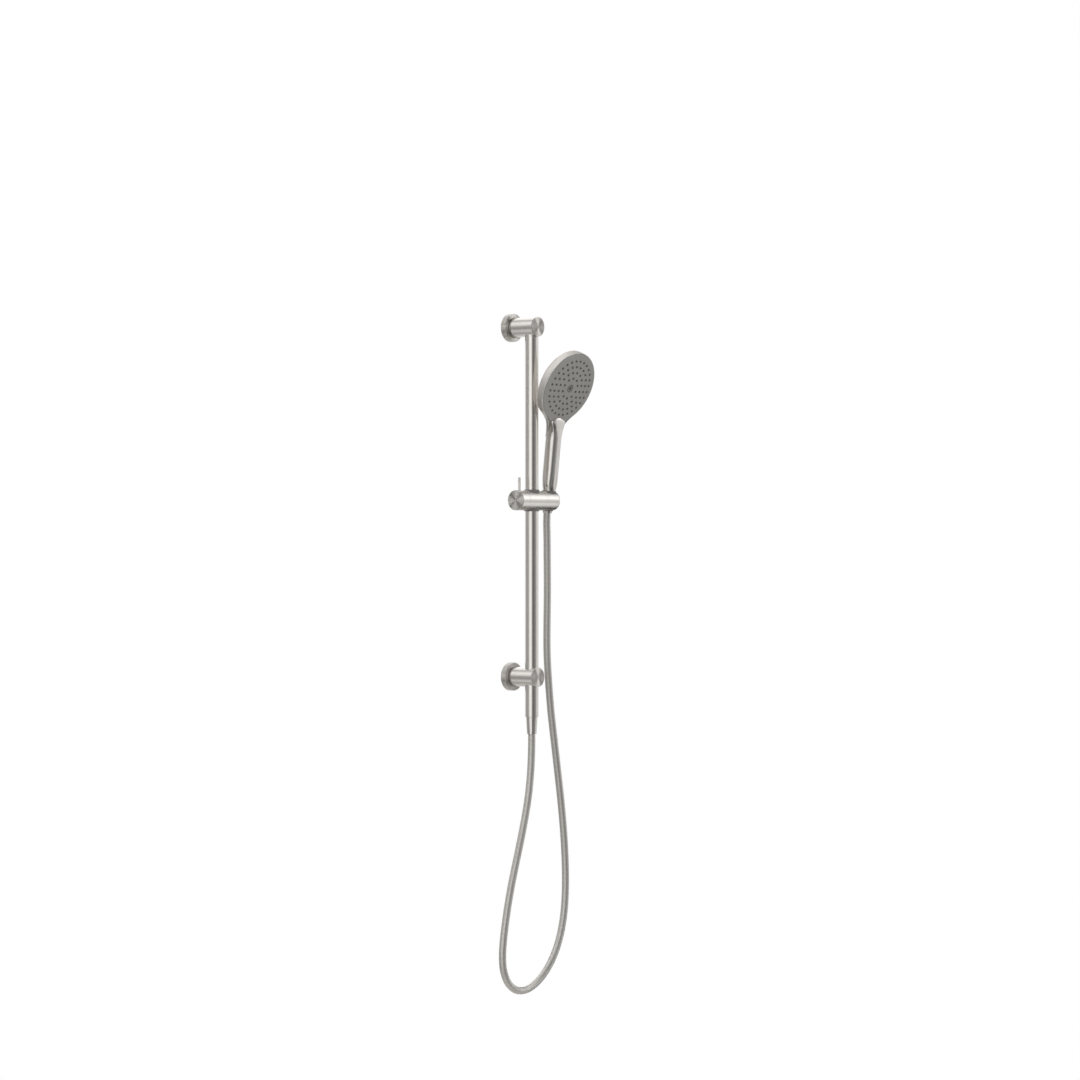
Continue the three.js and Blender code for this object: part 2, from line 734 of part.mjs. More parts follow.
// The back of the head stops short of the brackets' ends, level with the rail, so that the
// slider can carry it past them.
const passDepth = railSetback + passGap;
const passHalfWidth = socketOffset - armRadius - passGap;
function behindBrackets(side) {
  const near = side * passHalfWidth;
  const far = side * headRadius * 2;
  return turnedBy(block(
    new THREE.Vector3(Math.min(near, far), -passDepth, 0),
    new THREE.Vector3(Math.max(near, far), headRadius, faceHeight + headRadius),
  ), -holderTilt, 0, 0);
}
const shellSolid = loft(neckRings)
  .add(onFace(headShape))
  .subtract(behindBrackets(1))
  .subtract(behindBrackets(-1))
  .add(loft(spineRings))
  .subtract(onFace(rod(faceRadius + gap, -overrun, facePocket)))
  .subtract(onFace(tailSolid(gap, -headThickness, facePocket)))
  .add(grip)
  .subtract(onFace(rod(cavityRadius, facePocket - gap, cavityBack)))
  .subtract(handleWay)
  .subtract(rod(threadRadius, 0, handleFoot + inletPlugLength, plainSides));

// The front of the spray face, in a frame whose height runs back into the head.
const frontAt = (radius) => -faceProud - faceDome * (1 - (radius / faceRadius) ** 2);

// Nozzles stand in rings round a middle jet.
const nozzleRings = [
  { radiusShare: 0.29, count: 10 },
  { radiusShare: 0.46, count: 16 },
  { radiusShare: 0.625, count: 22 },
  { radiusShare: 0.79, count: 28 },
];

function nozzlePlaces() {
  const places = [];
  for (const { radiusShare, count } of nozzleRings) {
    for (let i = 0; i < count; i += 1) {
      const angle = (2 * Math.PI * (i + 1 / 2)) / count;
      const radius = faceRadius * radiusShare;
      places.push([radius * Math.cos(angle), radius * Math.sin(angle)]);
    }
  }
  return places;
}

function nozzleField(make) {
  return wasm.Manifold.union(
    nozzlePlaces().map(([x, y]) => moved(make(frontAt(Math.hypot(x, y))), x, y, 0)),
  );
}

const faceEdgeFront = -faceProud;
const faceBack = faceThickness - faceProud;
const domeShares = [0, 0.35, 0.65, 0.85, 0.98];
const faceDisc = turned([
  ...domeShares.map((share) => [faceRadius * share, frontAt(faceRadius * share)]),
  [faceRadius, faceEdgeFront + faceEdge],
  [faceRadius, faceBack],
  [0, faceBack],
]);
const nozzleHole = (front) => rod(nozzleRadius + gap, front - overrun, faceBack + overrun, nozzleSides);
const centreHole = rod(centreNozzleRadius + gap, frontAt(0) - overrun, faceBack + overrun, plainSides);
const tongueClear = loft(gripRings.map((ring) => ring.map((p) => new THREE.Vector3(
  p.x * (1 + gap / handleHalfWidth),
  (p.y - handleBack) * (1 + gap / handleHalfDepth) + handleBack,
  p.z + gap,
))));
const faceSolid = onFace(
  faceDisc
    .add(tailSolid(0, faceEdgeFront + faceEdge, faceBack))
    .subtract(nozzleField(nozzleHole))
    .subtract(centreHole),
).subtract(tongueClear);

const nozzle = (front) =>
  cone(nozzleTipRadius, nozzleRadius, front - nozzleProud, matBack - gap, nozzleSides);
const matRadius = cavityRadius - gap;
const matSolid = onFace(
  tube(centreNozzleRadius, matRadius, matFront, matBack, plainSides).add(nozzleField(nozzle)),
);
const centreSolid = onFace(
  turned([
    [0, frontAt(0) + centreSink],
    [centreNozzleRadius - gap, frontAt(0) + centreSink],
    [centreNozzleRadius - gap, matBack],
    [0, matBack],
  ], plainSides),
);
const chamberSolid = onFace(tube(waterRadius, matRadius, matBack + gap, chamberBack, plainSides));

const plugTop = handleFoot + inletPlugLength - gap;
const inletFoot = handleFoot - inletThreadLength;
const handsetInlet = tube(flangeBore, threadRadius - gap, inletFoot, plugTop, plainSides);

piece(handset, 'handset_shell', shellSolid, 'brushedNickel');
piece(handset, 'spray_face', faceSolid, 'greyPlastic');
piece(handset, 'nozzle_mat', matSolid, 'greySilicone');
piece(handset, 'centre_jet', centreSolid, 'greySilicone');
piece(handset, 'spray_chamber', chamberSolid, 'whitePlastic');
piece(handset, 'handset_inlet', handsetInlet, 'brass');
piece(handset, 'handset_washer', washerSolid(inletFoot, -1), 'blackRubber');
piece(handset, 'upper_hose_flange', flangeSolid(inletFoot, -1), 'brass');

const upperNutLow = nutTop - upperNutLength;
const upperNutEase = nutTop - upperNutWaist;
const upperHoseEnd = inletFoot - endStack;
const upperNut = turned([
  [nutBore, nutTop],
  [seatRadius(nutTop), nutTop],
  [seatRadius(upperNutEase), upperNutEase],
  [upperNutFoot, upperNutLow],
  [lipBore, upperNutLow],
  [lipBore, upperHoseEnd],
  [nutBore, upperHoseEnd],
]);
piece(handset, 'upper_hose_nut', upperNut, 'brushedNickel');

// Hose, in five stretches that lie end to end, given by the points its middle passes through.

const hoseSides = 10;
const hoseStep = 33; // length of one straight facet of the hose
const hoseRuns = [
  {
    name: 'hose_top_stretch',
    points: [
      [49, -52.66, -338.72],
      [49, -50.94, -353.83],
      [49.6, -49.9, -368.73],
      [50.6, -49.5, -385],
      [51.4, -49.3, -406],
      [51.5, -49.3, -428],
    ],
  },
  {
    name: 'hose_tilt_stretch',
    points: [
      [51.5, -49.3, -428],
      [51.5, -49.6, -450],
      [50.9, -50.4, -486],
      [49.8, -51.1, -518],
    ],
  },
  {
    name: 'hose_swivel_stretch',
    points: [
      [49.8, -51.1, -518],
      [47.8, -52, -560],
      [46.8, -52.8, -609],
      [48.4, -53.4, -645],
      [50.3, -53.7, -668],
    ],
  },
  {
    name: 'hose_right_leg',
    points: [
      [50.3, -53.7, -668],
      [53.3, -53.9, -696.8],
      [57, -54, -725.5],
      [61.8, -54, -754],
      [66.9, -54, -782.5],
      [72, -54, -811],
      [77, -54, -839.4],
      [82, -54, -867.9],
      [86.8, -54, -896.5],
      [91.1, -54, -925.1],
      [94.8, -54, -953.8],
      [97.7, -54, -982.6],
      [99.8, -54, -1011.4],
      [100.9, -54, -1040.3],
      [100.5, -54, -1069.2],
      [98.1, -54, -1098.1],
      [93, -54, -1126.5],
      [84.4, -54, -1154.1],
      [71.9, -54, -1180.2],
      [55.1, -54, -1203.7],
      [34.3, -54, -1223.7],
      [9.8, -54, -1239],
      [-17.7, -54, -1247.7],
    ],
  },
  {
    name: 'hose_left_leg',
    points: [
      [-17.7, -54, -1247.7],
      [-46.2, -54, -1245.5],
      [-69.9, -54, -1229.5],
      [-82.8, -54, -1203.9],
      [-85.4, -54, -1175.2],
      [-82.4, -54, -1146.4],
      [-77.2, -54, -1118],
      [-70.9, -54, -1089.7],
      [-63.6, -54, -1061.7],
      [-55.3, -54, -1034],
      [-46.3, -54, -1006.5],
      [-37.1, -54, -979.1],
      [-28.3, -54, -951.5],
      [-20, -54, -923.8],
      [-12.7, -54, -895.8],
      [-7.1, -54, -867.5],
      [-3.3, -54, -838.8],
      [-1, -54, -809.9],
      [-0.1, -54, -781],
      [0, -54, -752.1],
    ],
  },
];

// The share of a line's length that lies before a share of its points.
function arcShareAt(line, pointShare) {
  const lengths = line.getLengths();
  const at = pointShare * (lengths.length - 1);
  const low = Math.floor(at);
  const high = Math.min(low + 1, lengths.length - 1);
  const length = lengths[low] + (lengths[high] - lengths[low]) * (at - low);
  return length / lengths[lengths.length - 1];
}

const hoseLine = new THREE.CatmullRomCurve3(
  hoseRuns.flatMap(({ points }, r) => points.slice(r === 0 ? 0 : 1).map((p) => new THREE.Vector3(...p))),
  false,
  'centripetal',
);

function hosePiece(line, from, to) {
  const length = (to - from) * line.getLength();
  const steps = Math.max(2, Math.ceil(length / hoseStep));
  const rings = [];
  for (let i = 0; i <= steps; i += 1) {
    const at = from + ((to - from) * i) / steps;
    const middle = line.getPointAt(at);
    const ahead = line.getTangentAt(at);
    const across = new THREE.Vector3(0, 1, 0).cross(ahead).normalize();
    const up = new THREE.Vector3().crossVectors(ahead, across);
    const ring = [];
    for (let k = 0; k < hoseSides; k += 1) {
      const angle = (2 * Math.PI * k) / hoseSides;
      ring.push(
        middle
          .clone()
          .addScaledVector(across, hoseRadius * Math.cos(angle))
          .addScaledVector(up, hoseRadius * Math.sin(angle)),
      );
    }
    rings.push(ring);
  }
  return loft(rings);
}

hoseLine.arcLengthDivisions = 2000;
hoseLine.updateArcLengths();
const hoseLength = hoseLine.getLength();
let pointsBefore = 0;
for (const { name, points } of hoseRuns) {
  const pointCount = hoseLine.points.length - 1;
  const from = arcShareAt(hoseLine, pointsBefore / pointCount);
  pointsBefore += points.length - 1;
  const to = arcShareAt(hoseLine, pointsBefore / pointCount);
  const trim = gap / 2 / hoseLength;
  const low = from > 0 ? from + trim : from;
  const high = to < 1 ? to - trim : to;
  piece(shower, name, hosePiece(hoseLine, low, high), 'hoseSkin');
}

export default shower;
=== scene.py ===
# %% [markdown]
# # A sliding shower rail with a hand shower
# The real object is a brushed nickel rail on two wall brackets. A slider on the rail holds
# the hand shower, and a hose feeds the hand shower from the lower bracket. This lesson
# dresses a finished engineering model of it. Every piece is made in the model's own frame,
# so it needs no fitting: Z is up, -Y points out of the wall, and the origin is the middle of
# the upper bracket, on the wall.

# %% Load the engineering model
import math

import bmesh
import bpy
from mathutils import Matrix, Vector


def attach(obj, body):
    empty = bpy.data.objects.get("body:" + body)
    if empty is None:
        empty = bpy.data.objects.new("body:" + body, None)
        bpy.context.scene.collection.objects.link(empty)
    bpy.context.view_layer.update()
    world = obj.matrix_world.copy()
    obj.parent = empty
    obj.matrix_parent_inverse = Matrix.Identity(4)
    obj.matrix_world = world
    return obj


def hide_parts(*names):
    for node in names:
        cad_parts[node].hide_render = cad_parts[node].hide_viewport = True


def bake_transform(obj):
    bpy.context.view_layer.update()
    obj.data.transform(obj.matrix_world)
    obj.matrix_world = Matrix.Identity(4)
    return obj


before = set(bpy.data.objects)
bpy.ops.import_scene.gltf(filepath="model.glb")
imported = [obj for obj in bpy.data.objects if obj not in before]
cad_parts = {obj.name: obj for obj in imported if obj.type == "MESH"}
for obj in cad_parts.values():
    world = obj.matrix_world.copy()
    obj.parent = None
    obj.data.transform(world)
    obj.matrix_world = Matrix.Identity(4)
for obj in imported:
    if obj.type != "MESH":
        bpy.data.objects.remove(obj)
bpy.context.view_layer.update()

# %% [markdown]
# The sizes below are in millimetres, as on a drawing, and MM turns them into Blender's metres.
# They repeat the engineering model's sizes, because a script that dresses a model should put
# its pieces exactly where the solids are.

# %% Sizes
MM = 0.001
RAIL_SPACING = 660
RAIL_OFFSET = 54
RAIL_RADIUS = 12.5
ARM_RADIUS = 18.5
ARM_REACH = 70
CAP_THICKNESS = 1.5
ROSE_RADIUS = 26.5
ROSE_THICKNESS = 12
SLIDER_DROP = 327
SLIDER_RADIUS = 19
KNOB_REACH = 47.5
HOLDER_REACH = 63
LEVER_REACH = 36.4
SOCKET_OFFSET = 49
HOLDER_TILT = 6.5
HEAD_RADIUS = 69.8
HEAD_THICKNESS = 19
RIM_THICKNESS = 15
FACE_HEIGHT = 217
FACE_REACH = 26
FACE_PITCH = 17
HOSE_RADIUS = 6.9
GAP = 0.3

# %% [markdown]
# ## Camera
# The picture was taken from the left of the rail and level with its middle, because the
# turned caps show as upright ellipses and the brackets' sides lean on neither side. A camera
# is placed by its direction, its distance and the point that lands in the middle of the frame.
# This one stands far off behind a long lens, which draws near and far ends at one scale.

# %% Camera
VIEW_AZIMUTH = math.radians(-50.5)
VIEW_DISTANCE = 7.0  # metres
SCALE_AT_RAIL = 1.885 * MM  # metres for each of the 1080 pixels, at the rail's depth
PICTURE_WIDTH = 1080
SENSOR_WIDTH = 36

to_camera = Vector((math.sin(VIEW_AZIMUTH), -math.cos(VIEW_AZIMUTH), 0))
to_right = Vector((math.cos(VIEW_AZIMUTH), math.sin(VIEW_AZIMUTH), 0))
rail_pixel_x = 531.7
origin_pixel_y = 327
middle_pixel = PICTURE_WIDTH / 2

aim = Vector((0, -RAIL_OFFSET * MM, 0))
aim += to_right * (middle_pixel - rail_pixel_x) * SCALE_AT_RAIL
aim.z = (origin_pixel_y - middle_pixel) * SCALE_AT_RAIL

camera_data = bpy.data.cameras.new("camera")
camera_data.sensor_width = SENSOR_WIDTH
camera_data.lens = SENSOR_WIDTH * VIEW_DISTANCE / (SCALE_AT_RAIL * PICTURE_WIDTH)
camera = bpy.data.objects.new("camera", camera_data)
camera.location = aim + to_camera * VIEW_DISTANCE
camera.rotation_euler = (-to_camera).to_track_quat("-Z", "Y").to_euler()
bpy.context.scene.collection.objects.link(camera)
bpy.context.scene.camera = camera
print("lens in mm:", round(camera_data.lens, 1))

# %% [markdown]
# ## Helpers that shape pieces
# Almost everything here is turned on a lathe in real life, so one helper spins a profile
# about an axis. A profile is a few vertices joined by edges, and Blender's spin does the rest.
# Other pieces are a ring of vertices that is extruded again and again, each time moved to its
# next station, like the ribs of a boat. Both end at the origin, with their place in the mesh.

# %% Helpers for placing and finishing
ALONG_X = Matrix.Rotation(math.radians(90), 4, "Y")
OUT_OF_WALL = Matrix.Rotation(math.radians(90), 4, "X")
MERGE_DISTANCE = 1e-7


def shifted(x, y, z):
    return Matrix.Translation(Vector((x, y, z)) * MM)


def finished(name, bm, place):
    bmesh.ops.remove_doubles(bm, verts=bm.verts, dist=MERGE_DISTANCE)
    bmesh.ops.recalc_face_normals(bm, faces=bm.faces)
    bmesh.ops.transform(bm, matrix=place, verts=bm.verts)
    for face in bm.faces:
        face.smooth = True
    mesh = bpy.data.meshes.new(name)
    bm.to_mesh(mesh)
    bm.free()
    piece = bpy.data.objects.new(name, mesh)
    bpy.context.scene.collection.objects.link(piece)
    return piece


def apply_modifiers(piece):
    graph = bpy.context.evaluated_depsgraph_get()
    mesh = bpy.data.meshes.new_from_object(piece.evaluated_get(graph))
    old = piece.data
    piece.modifiers.clear()
    piece.data = mesh
    mesh.name = piece.name
    bpy.data.meshes.remove(old)


def soften(piece, width, segments=3, angle=33):
    """Rounds every edge that is sharper than the angle, as a machinist breaks an edge."""
    bevel = piece.modifiers.new("soften", "BEVEL")
    bevel.width = width * MM
    bevel.segments = segments
    bevel.limit_method = "ANGLE"
    bevel.angle_limit = math.radians(angle)
    bevel.harden_normals = True
    bevel.use_clamp_overlap = True
    apply_modifiers(piece)
    return piece


def combine(piece, operation, *others):
    """Joins the others to the piece or cuts them out of it, and throws them away."""
    for other in others:
        change = piece.modifiers.new("combine", "BOOLEAN")
        change.operation = operation
        change.solver = "EXACT"
        change.object = other
        apply_modifiers(piece)
        bpy.data.objects.remove(other)
    return piece


def carve(piece, *cutters):
    return combine(piece, "DIFFERENCE", *cutters)


# %% Helpers for turned and skinned pieces
TURNED_STEPS = 96


def turned(name, profile, place, steps=TURNED_STEPS, closed=False):
    """Spins (radius, height) points about Z. A closed profile makes a ring or tube."""
    bm = bmesh.new()
    verts = [bm.verts.new((radius * MM, 0, height * MM)) for radius, height in profile]
    loop = verts + verts[:1] if closed else verts
    edges = [bm.edges.new(pair) for pair in zip(loop, loop[1:])]
    bmesh.ops.spin(
        bm,
        geom=verts + edges,
        cent=(0, 0, 0),
        axis=(0, 0, 1),
        angle=math.tau,
        steps=steps,
        use_merge=True,
    )
    return finished(name, bm, place)


def rod(name, radius, low, high, place, steps=TURNED_STEPS):
    return turned(name, [(0, low), (radius, low), (radius, high), (0, high)], place, steps)


def block(name, low, high, place):
    bm = bmesh.new()
    bmesh.ops.create_cube(bm, size=1)
    size = Vector(high) - Vector(low)
    middle = (Vector(high) + Vector(low)) / 2
    bmesh.ops.scale(bm, vec=size * MM, verts=bm.verts)
    bmesh.ops.translate(bm, vec=middle * MM, verts=bm.verts)
    return finished(name, bm, place)


def close_end(bm, edges, sharp):
    bmesh.ops.contextual_create(bm, geom=edges)
    for edge in edges:
        edge.smooth = not sharp


def skinned(name, stations, place, sharp_ends=False):
    """Extrudes a ring of vertices through stations, which are lists of points in mm."""
    bm = bmesh.new()
    count = len(stations[0])
    ring = bmesh.ops.create_circle(bm, cap_ends=False, segments=count, radius=1)["verts"]
    edges = bm.edges[:]
    for vert, point in zip(ring, stations[0]):
        vert.co = Vector(point) * MM
    close_end(bm, edges, sharp_ends)
    for station in stations[1:]:
        grown = bmesh.ops.extrude_edge_only(bm, edges=edges)["geom"]
        fresh = {g for g in grown if isinstance(g, bmesh.types.BMVert)}
        edges = [
            g
            for g in grown
            if isinstance(g, bmesh.types.BMEdge) and set(g.verts) <= fresh
        ]
        ring = [
            next(e.other_vert(v) for e in v.link_edges if e.other_vert(v) in fresh)
            for v in ring
        ]
        for vert, point in zip(ring, station):
            vert.co = Vector(point) * MM
    close_end(bm, edges, sharp_ends)
    return finished(name, bm, place)


# %% [markdown]
# ## Helpers that make finishes
# A finish is a small graph of nodes. One function adds a node with its settings and links,
# and another turns the hex colours that a designer writes into the linear light values that
# a renderer needs. Values that are the same all over go straight on the shader's sockets.


# %% Helpers for materials
def linear(hex_colour):
    """Turns an sRGB hex colour into linear red, green, blue and alpha."""
    channels = [int(hex_colour[i : i + 2], 16) / 255 for i in (0, 2, 4)]
    light = [
        c / 12.92 if c <= 0.04045 else ((c + 0.055) / 1.055) ** 2.4 for c in channels
    ]
    return light + [1]


def add_node(tree, kind, settings=None, inputs=None):
    """Adds one node. Inputs that are output sockets are linked, and others are set."""
    node = tree.nodes.new(kind)
    for name, value in (settings or {}).items():
        setattr(node, name, value)
    for name, value in (inputs or {}).items():
        if isinstance(value, bpy.types.NodeSocket):
            tree.links.new(value, node.inputs[name])
        else:
            node.inputs[name].default_value = value
    return node


def new_material(name, display):
    material = bpy.data.materials.new(name)
    material.use_nodes = True
    material.diffuse_color = linear(display)
    tree = material.node_tree
    tree.nodes.clear()
    return material, tree


def close_material(tree, shader):
    output = tree.nodes.new("ShaderNodeOutputMaterial")
    tree.links.new(shader.outputs[0], output.inputs["Surface"])


def ramp(tree, factor, stops):
    node = add_node(tree, "ShaderNodeValToRGB", inputs={"Fac": factor})
    elements = node.color_ramp.elements
    while len(elements) > 1:
        elements.remove(elements[-1])
    elements[0].position, elements[0].color = stops[0]
    for position, colour in stops[1:]:
        elements.new(position).color = colour
    return node


def drifting_colour(tree, place, per_metre, detail, colour_a, colour_b):
    """A colour that drifts between two, in so many soft patches to the metre."""
    patches = add_node(
        tree,
        "ShaderNodeTexNoise",
        inputs={"Vector": place.outputs["Object"], "Scale": per_metre, "Detail": detail},
    )
    colour = add_node(
        tree,
        "ShaderNodeMix",
        {"data_type": "RGBA"},
        {"Factor": patches.outputs["Fac"], "A": linear(colour_a), "B": linear(colour_b)},
    )
    return colour.outputs["Result"]


# %% [markdown]
# ### Brushed nickel
# The rail and brackets are brass with a nickel plate that is brushed while the piece turns,
# so hair-fine lines run round it. The lines spread a highlight along the piece and leave the
# bands round it crisp. Anisotropy along a radial tangent does that, and fine stretched noise
# changes the roughness and height a little from line to line. Real lines are 0.05 mm apart,
# too fine to show, so these are 0.4 mm. A flat cap is faced on the lathe instead: its lines
# are coarser circles, and they draw light and dark fans that meet in the middle.

# %% Brushed nickel, turned
NICKEL = "DDD9D4"
NICKEL_DULL = "D3CFCA"
LINE_SPACING = 0.4
STREAKS_PER_METRE = 6  # along the lines, so a streak is about 170 mm long
STAINS_PER_METRE = 22  # so a duller cloud in the plate is about 45 mm wide
LINE_CONTRAST = 0.035  # how much rougher or smoother a line is than the rest


def turned_nickel(name, axis, roughness=0.24, anisotropy=0.55):
    material, tree = new_material(name, NICKEL)
    place = add_node(tree, "ShaderNodeTexCoord")
    scale = [STREAKS_PER_METRE] * 3
    scale["XYZ".index(axis)] = 1 / (LINE_SPACING * MM)
    mapping = add_node(
        tree,
        "ShaderNodeMapping",
        inputs={"Vector": place.outputs["Object"], "Scale": scale},
    )
    lines = add_node(
        tree,
        "ShaderNodeTexNoise",
        inputs={"Vector": mapping.outputs[0], "Scale": 1, "Detail": 3, "Roughness": 0.6},
    )
    colour = drifting_colour(tree, place, STAINS_PER_METRE, 2, NICKEL, NICKEL_DULL)
    rough = add_node(
        tree,
        "ShaderNodeMapRange",
        inputs={
            "Value": lines.outputs["Fac"],
            "From Min": 0.3,
            "From Max": 0.7,
            "To Min": roughness - LINE_CONTRAST,
            "To Max": roughness + LINE_CONTRAST,
        },
    )
    bump = add_node(
        tree,
        "ShaderNodeBump",
        inputs={"Height": lines.outputs["Fac"], "Strength": 0.05, "Distance": 0.0001},
    )
    turn = add_node(tree, "ShaderNodeTangent", {"direction_type": "RADIAL", "axis": axis})
    shader = add_node(
        tree,
        "ShaderNodeBsdfPrincipled",
        inputs={
            "Base Color": colour,
            "Metallic": 1,
            "Roughness": rough.outputs[0],
            "Normal": bump.outputs[0],
            "Anisotropic": anisotropy,
            "Anisotropic Rotation": 0.25,
            "Tangent": turn.outputs[0],
        },
    )
    close_material(tree, shader)
    return material


nickel_upright = turned_nickel("brushed_nickel_turned_upright", "Z")
nickel_outward = turned_nickel("brushed_nickel_turned_outward", "Y")
nickel_across = turned_nickel("brushed_nickel_turned_across", "X")
nickel_face_outward = turned_nickel("brushed_nickel_faced_outward", "Y", 0.44, 1.0)
nickel_face_across = turned_nickel("brushed_nickel_faced_across", "X", 0.44, 1.0)
print("nickel finishes:", [m.name for m in bpy.data.materials if "nickel" in m.name])

# %% [markdown]
# ### Nickel plated plastic
# The hand shower is moulded ABS with the same colour of plate. Nothing turned it, so it has
# no lines: its satin comes from fine grit that was blasted on the mould, and it is alike in
# every direction. The head was blasted coarser than the handle, so it reflects the room as a
# soft blur where the handle still shows bands. Real grit is too fine to show at 0.05 mm, so
# this is 0.4 mm.

# %% Satin nickel on moulded plastic
GRIT_SIZE = 0.4
MOULD_STAINS_PER_METRE = 18  # so a duller cloud in the plate is about 55 mm wide


def plated(name, smoothest, roughest):
    material, tree = new_material(name, NICKEL)
    place = add_node(tree, "ShaderNodeTexCoord")
    grit = add_node(
        tree,
        "ShaderNodeTexNoise",
        inputs={
            "Vector": place.outputs["Object"],
            "Scale": 1 / (GRIT_SIZE * MM),
            "Detail": 2,
        },
    )
    colour = drifting_colour(tree, place, MOULD_STAINS_PER_METRE, 2, NICKEL, NICKEL_DULL)
    rough = add_node(
        tree,
        "ShaderNodeMapRange",
        inputs={"Value": grit.outputs["Fac"], "To Min": smoothest, "To Max": roughest},
    )
    bump = add_node(
        tree,
        "ShaderNodeBump",
        inputs={"Height": grit.outputs["Fac"], "Strength": 0.03, "Distance": 0.00003},
    )
    shader = add_node(
        tree,
        "ShaderNodeBsdfPrincipled",
        inputs={
            "Base Color": colour,
            "Metallic": 1,
            "Roughness": rough.outputs[0],
            "Normal": bump.outputs[0],
        },
    )
    close_material(tree, shader)
    return material


nickel_plated = plated("satin_nickel_plated_abs", 0.2, 0.28)
nickel_plated_head = plated("blasted_nickel_plated_abs", 0.42, 0.5)

# %% [markdown]
# ### Plastics, rubbers and plain metals
# The inner pieces and the spray face are moulded or cast. They share one recipe: a colour
# that drifts a little, a roughness, and a fine grain from the mould. Only the numbers differ.
# Real grain is under a tenth of a millimetre, too fine to show, so it is drawn at 0.35 mm to
# 0.7 mm here.


# %% Moulded and cast finishes
DRIFT_PER_METRE = 35  # so the colour drifts over about 30 mm
GRAIN_CONTRAST = 0.06  # how much rougher or smoother a grain is than the rest


def grained(
    name, colour_a, colour_b, roughness, grain_mm, metallic=0.0, strength=0.08, ior=1.5
):
    material, tree = new_material(name, colour_a)
    place = add_node(tree, "ShaderNodeTexCoord")
    grain = add_node(
        tree,
        "ShaderNodeTexNoise",
        inputs={"Vector": place.outputs["Object"], "Scale": 1 / (grain_mm * MM), "Detail": 2},
    )
    colour = drifting_colour(tree, place, DRIFT_PER_METRE, 3, colour_a, colour_b)
    rough = add_node(
        tree,
        "ShaderNodeMapRange",
        inputs={
            "Value": grain.outputs["Fac"],
            "To Min": roughness - GRAIN_CONTRAST,
            "To Max": roughness + GRAIN_CONTRAST,
        },
    )
    bump = add_node(
        tree,
        "ShaderNodeBump",
        inputs={"Height": grain.outputs["Fac"], "Strength": strength, "Distance": 0.0002},
    )
    shader = add_node(
        tree,
        "ShaderNodeBsdfPrincipled",
        inputs={
            "Base Color": colour,
            "Metallic": metallic,
            "Roughness": rough.outputs[0],
            "Normal": bump.outputs[0],
            "IOR": ior,
        },
    )
    close_material(tree, shader)
    return material


face_plastic = grained("satin_grey_abs", "94928E", "8E8C88", 0.5, 0.6)
nozzle_silicone = grained("grey_silicone", "575552", "514F4C", 0.6, 0.5, ior=1.41)
black_rubber = grained("black_nbr_rubber", "1E1E1E", "262525", 0.75, 0.4, ior=1.52)
white_acetal = grained("white_acetal", "E4E3DE", "DDDCD6", 0.42, 0.7, ior=1.48)
grey_acetal = grained("grey_acetal", "6E6C69", "686663", 0.45, 0.7, ior=1.48)
machined_brass = grained("machined_brass", "C2A45E", "B89A55", 0.3, 0.35, 1.0, 0.05)
stainless = grained("stainless_steel", "B4B4B2", "ABABA9", 0.32, 0.35, 1.0, 0.05)

# %% [markdown]
# ### Hose skin
# The hose is smooth outside: a silver foil is wound round the inner tube, and a clear vinyl
# skin covers it. From a step away it reads as dull silver. The foil is a rough metal, its
# winding shows as a faint slanting line, and the skin is a coat. The pattern follows the
# hose by its own UV map, whose first value goes round and whose second runs along in metres.
# The foil's winding is 9 mm wide, about two thirds of the hose's thickness.

# %% Silver foil under clear vinyl
FOIL_PITCH = 9.0
material, tree = new_material("silver_foil_under_clear_vinyl", "B5B1AB")
winding = add_node(tree, "ShaderNodeUVMap", {"uv_map": "along_hose"})
stretch = add_node(
    tree,
    "ShaderNodeMapping",
    inputs={"Vector": winding.outputs[0], "Scale": (1, 1 / (FOIL_PITCH * MM), 1)},
)
turns = add_node(tree, "ShaderNodeSeparateXYZ", inputs={"Vector": stretch.outputs[0]})
slant = add_node(
    tree,
    "ShaderNodeMath",
    {"operation": "ADD"},
    {0: turns.outputs["X"], 1: turns.outputs["Y"]},
)
phase = add_node(tree, "ShaderNodeMath", {"operation": "FRACT"}, {0: slant.outputs[0]})
overlap = ramp(
    tree,
    phase.outputs[0],
    [
        (0.0, linear("BCB9B4")),
        (0.06, linear("C6C3BE")),
        (0.5, linear("C9C6C1")),
        (0.94, linear("C6C3BE")),
        (1.0, linear("BCB9B4")),
    ],
)
bump = add_node(
    tree,
    "ShaderNodeBump",
    inputs={"Height": overlap.outputs["Color"], "Strength": 0.02, "Distance": 0.0002},
)
shader = add_node(
    tree,
    "ShaderNodeBsdfPrincipled",
    inputs={
        "Base Color": overlap.outputs["Color"],
        "Metallic": 0.85,
        "Roughness": 0.46,
        "Normal": bump.outputs[0],
        "Coat Weight": 0.25,
        "Coat Roughness": 0.2,
    },
)
close_material(tree, shader)
hose_skin = material


def dress(piece, material):
    piece.data.materials.clear()
    piece.data.materials.append(material)


def fit(piece, material, node, body):
    """Gives a piece its finish and node it stands for, and the body it rides."""
    dress(piece, material)
    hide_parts(node)
    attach(piece, body)
    print(f"{piece.name}: {len(piece.data.polygons)} faces in place of {node}, on {body}")
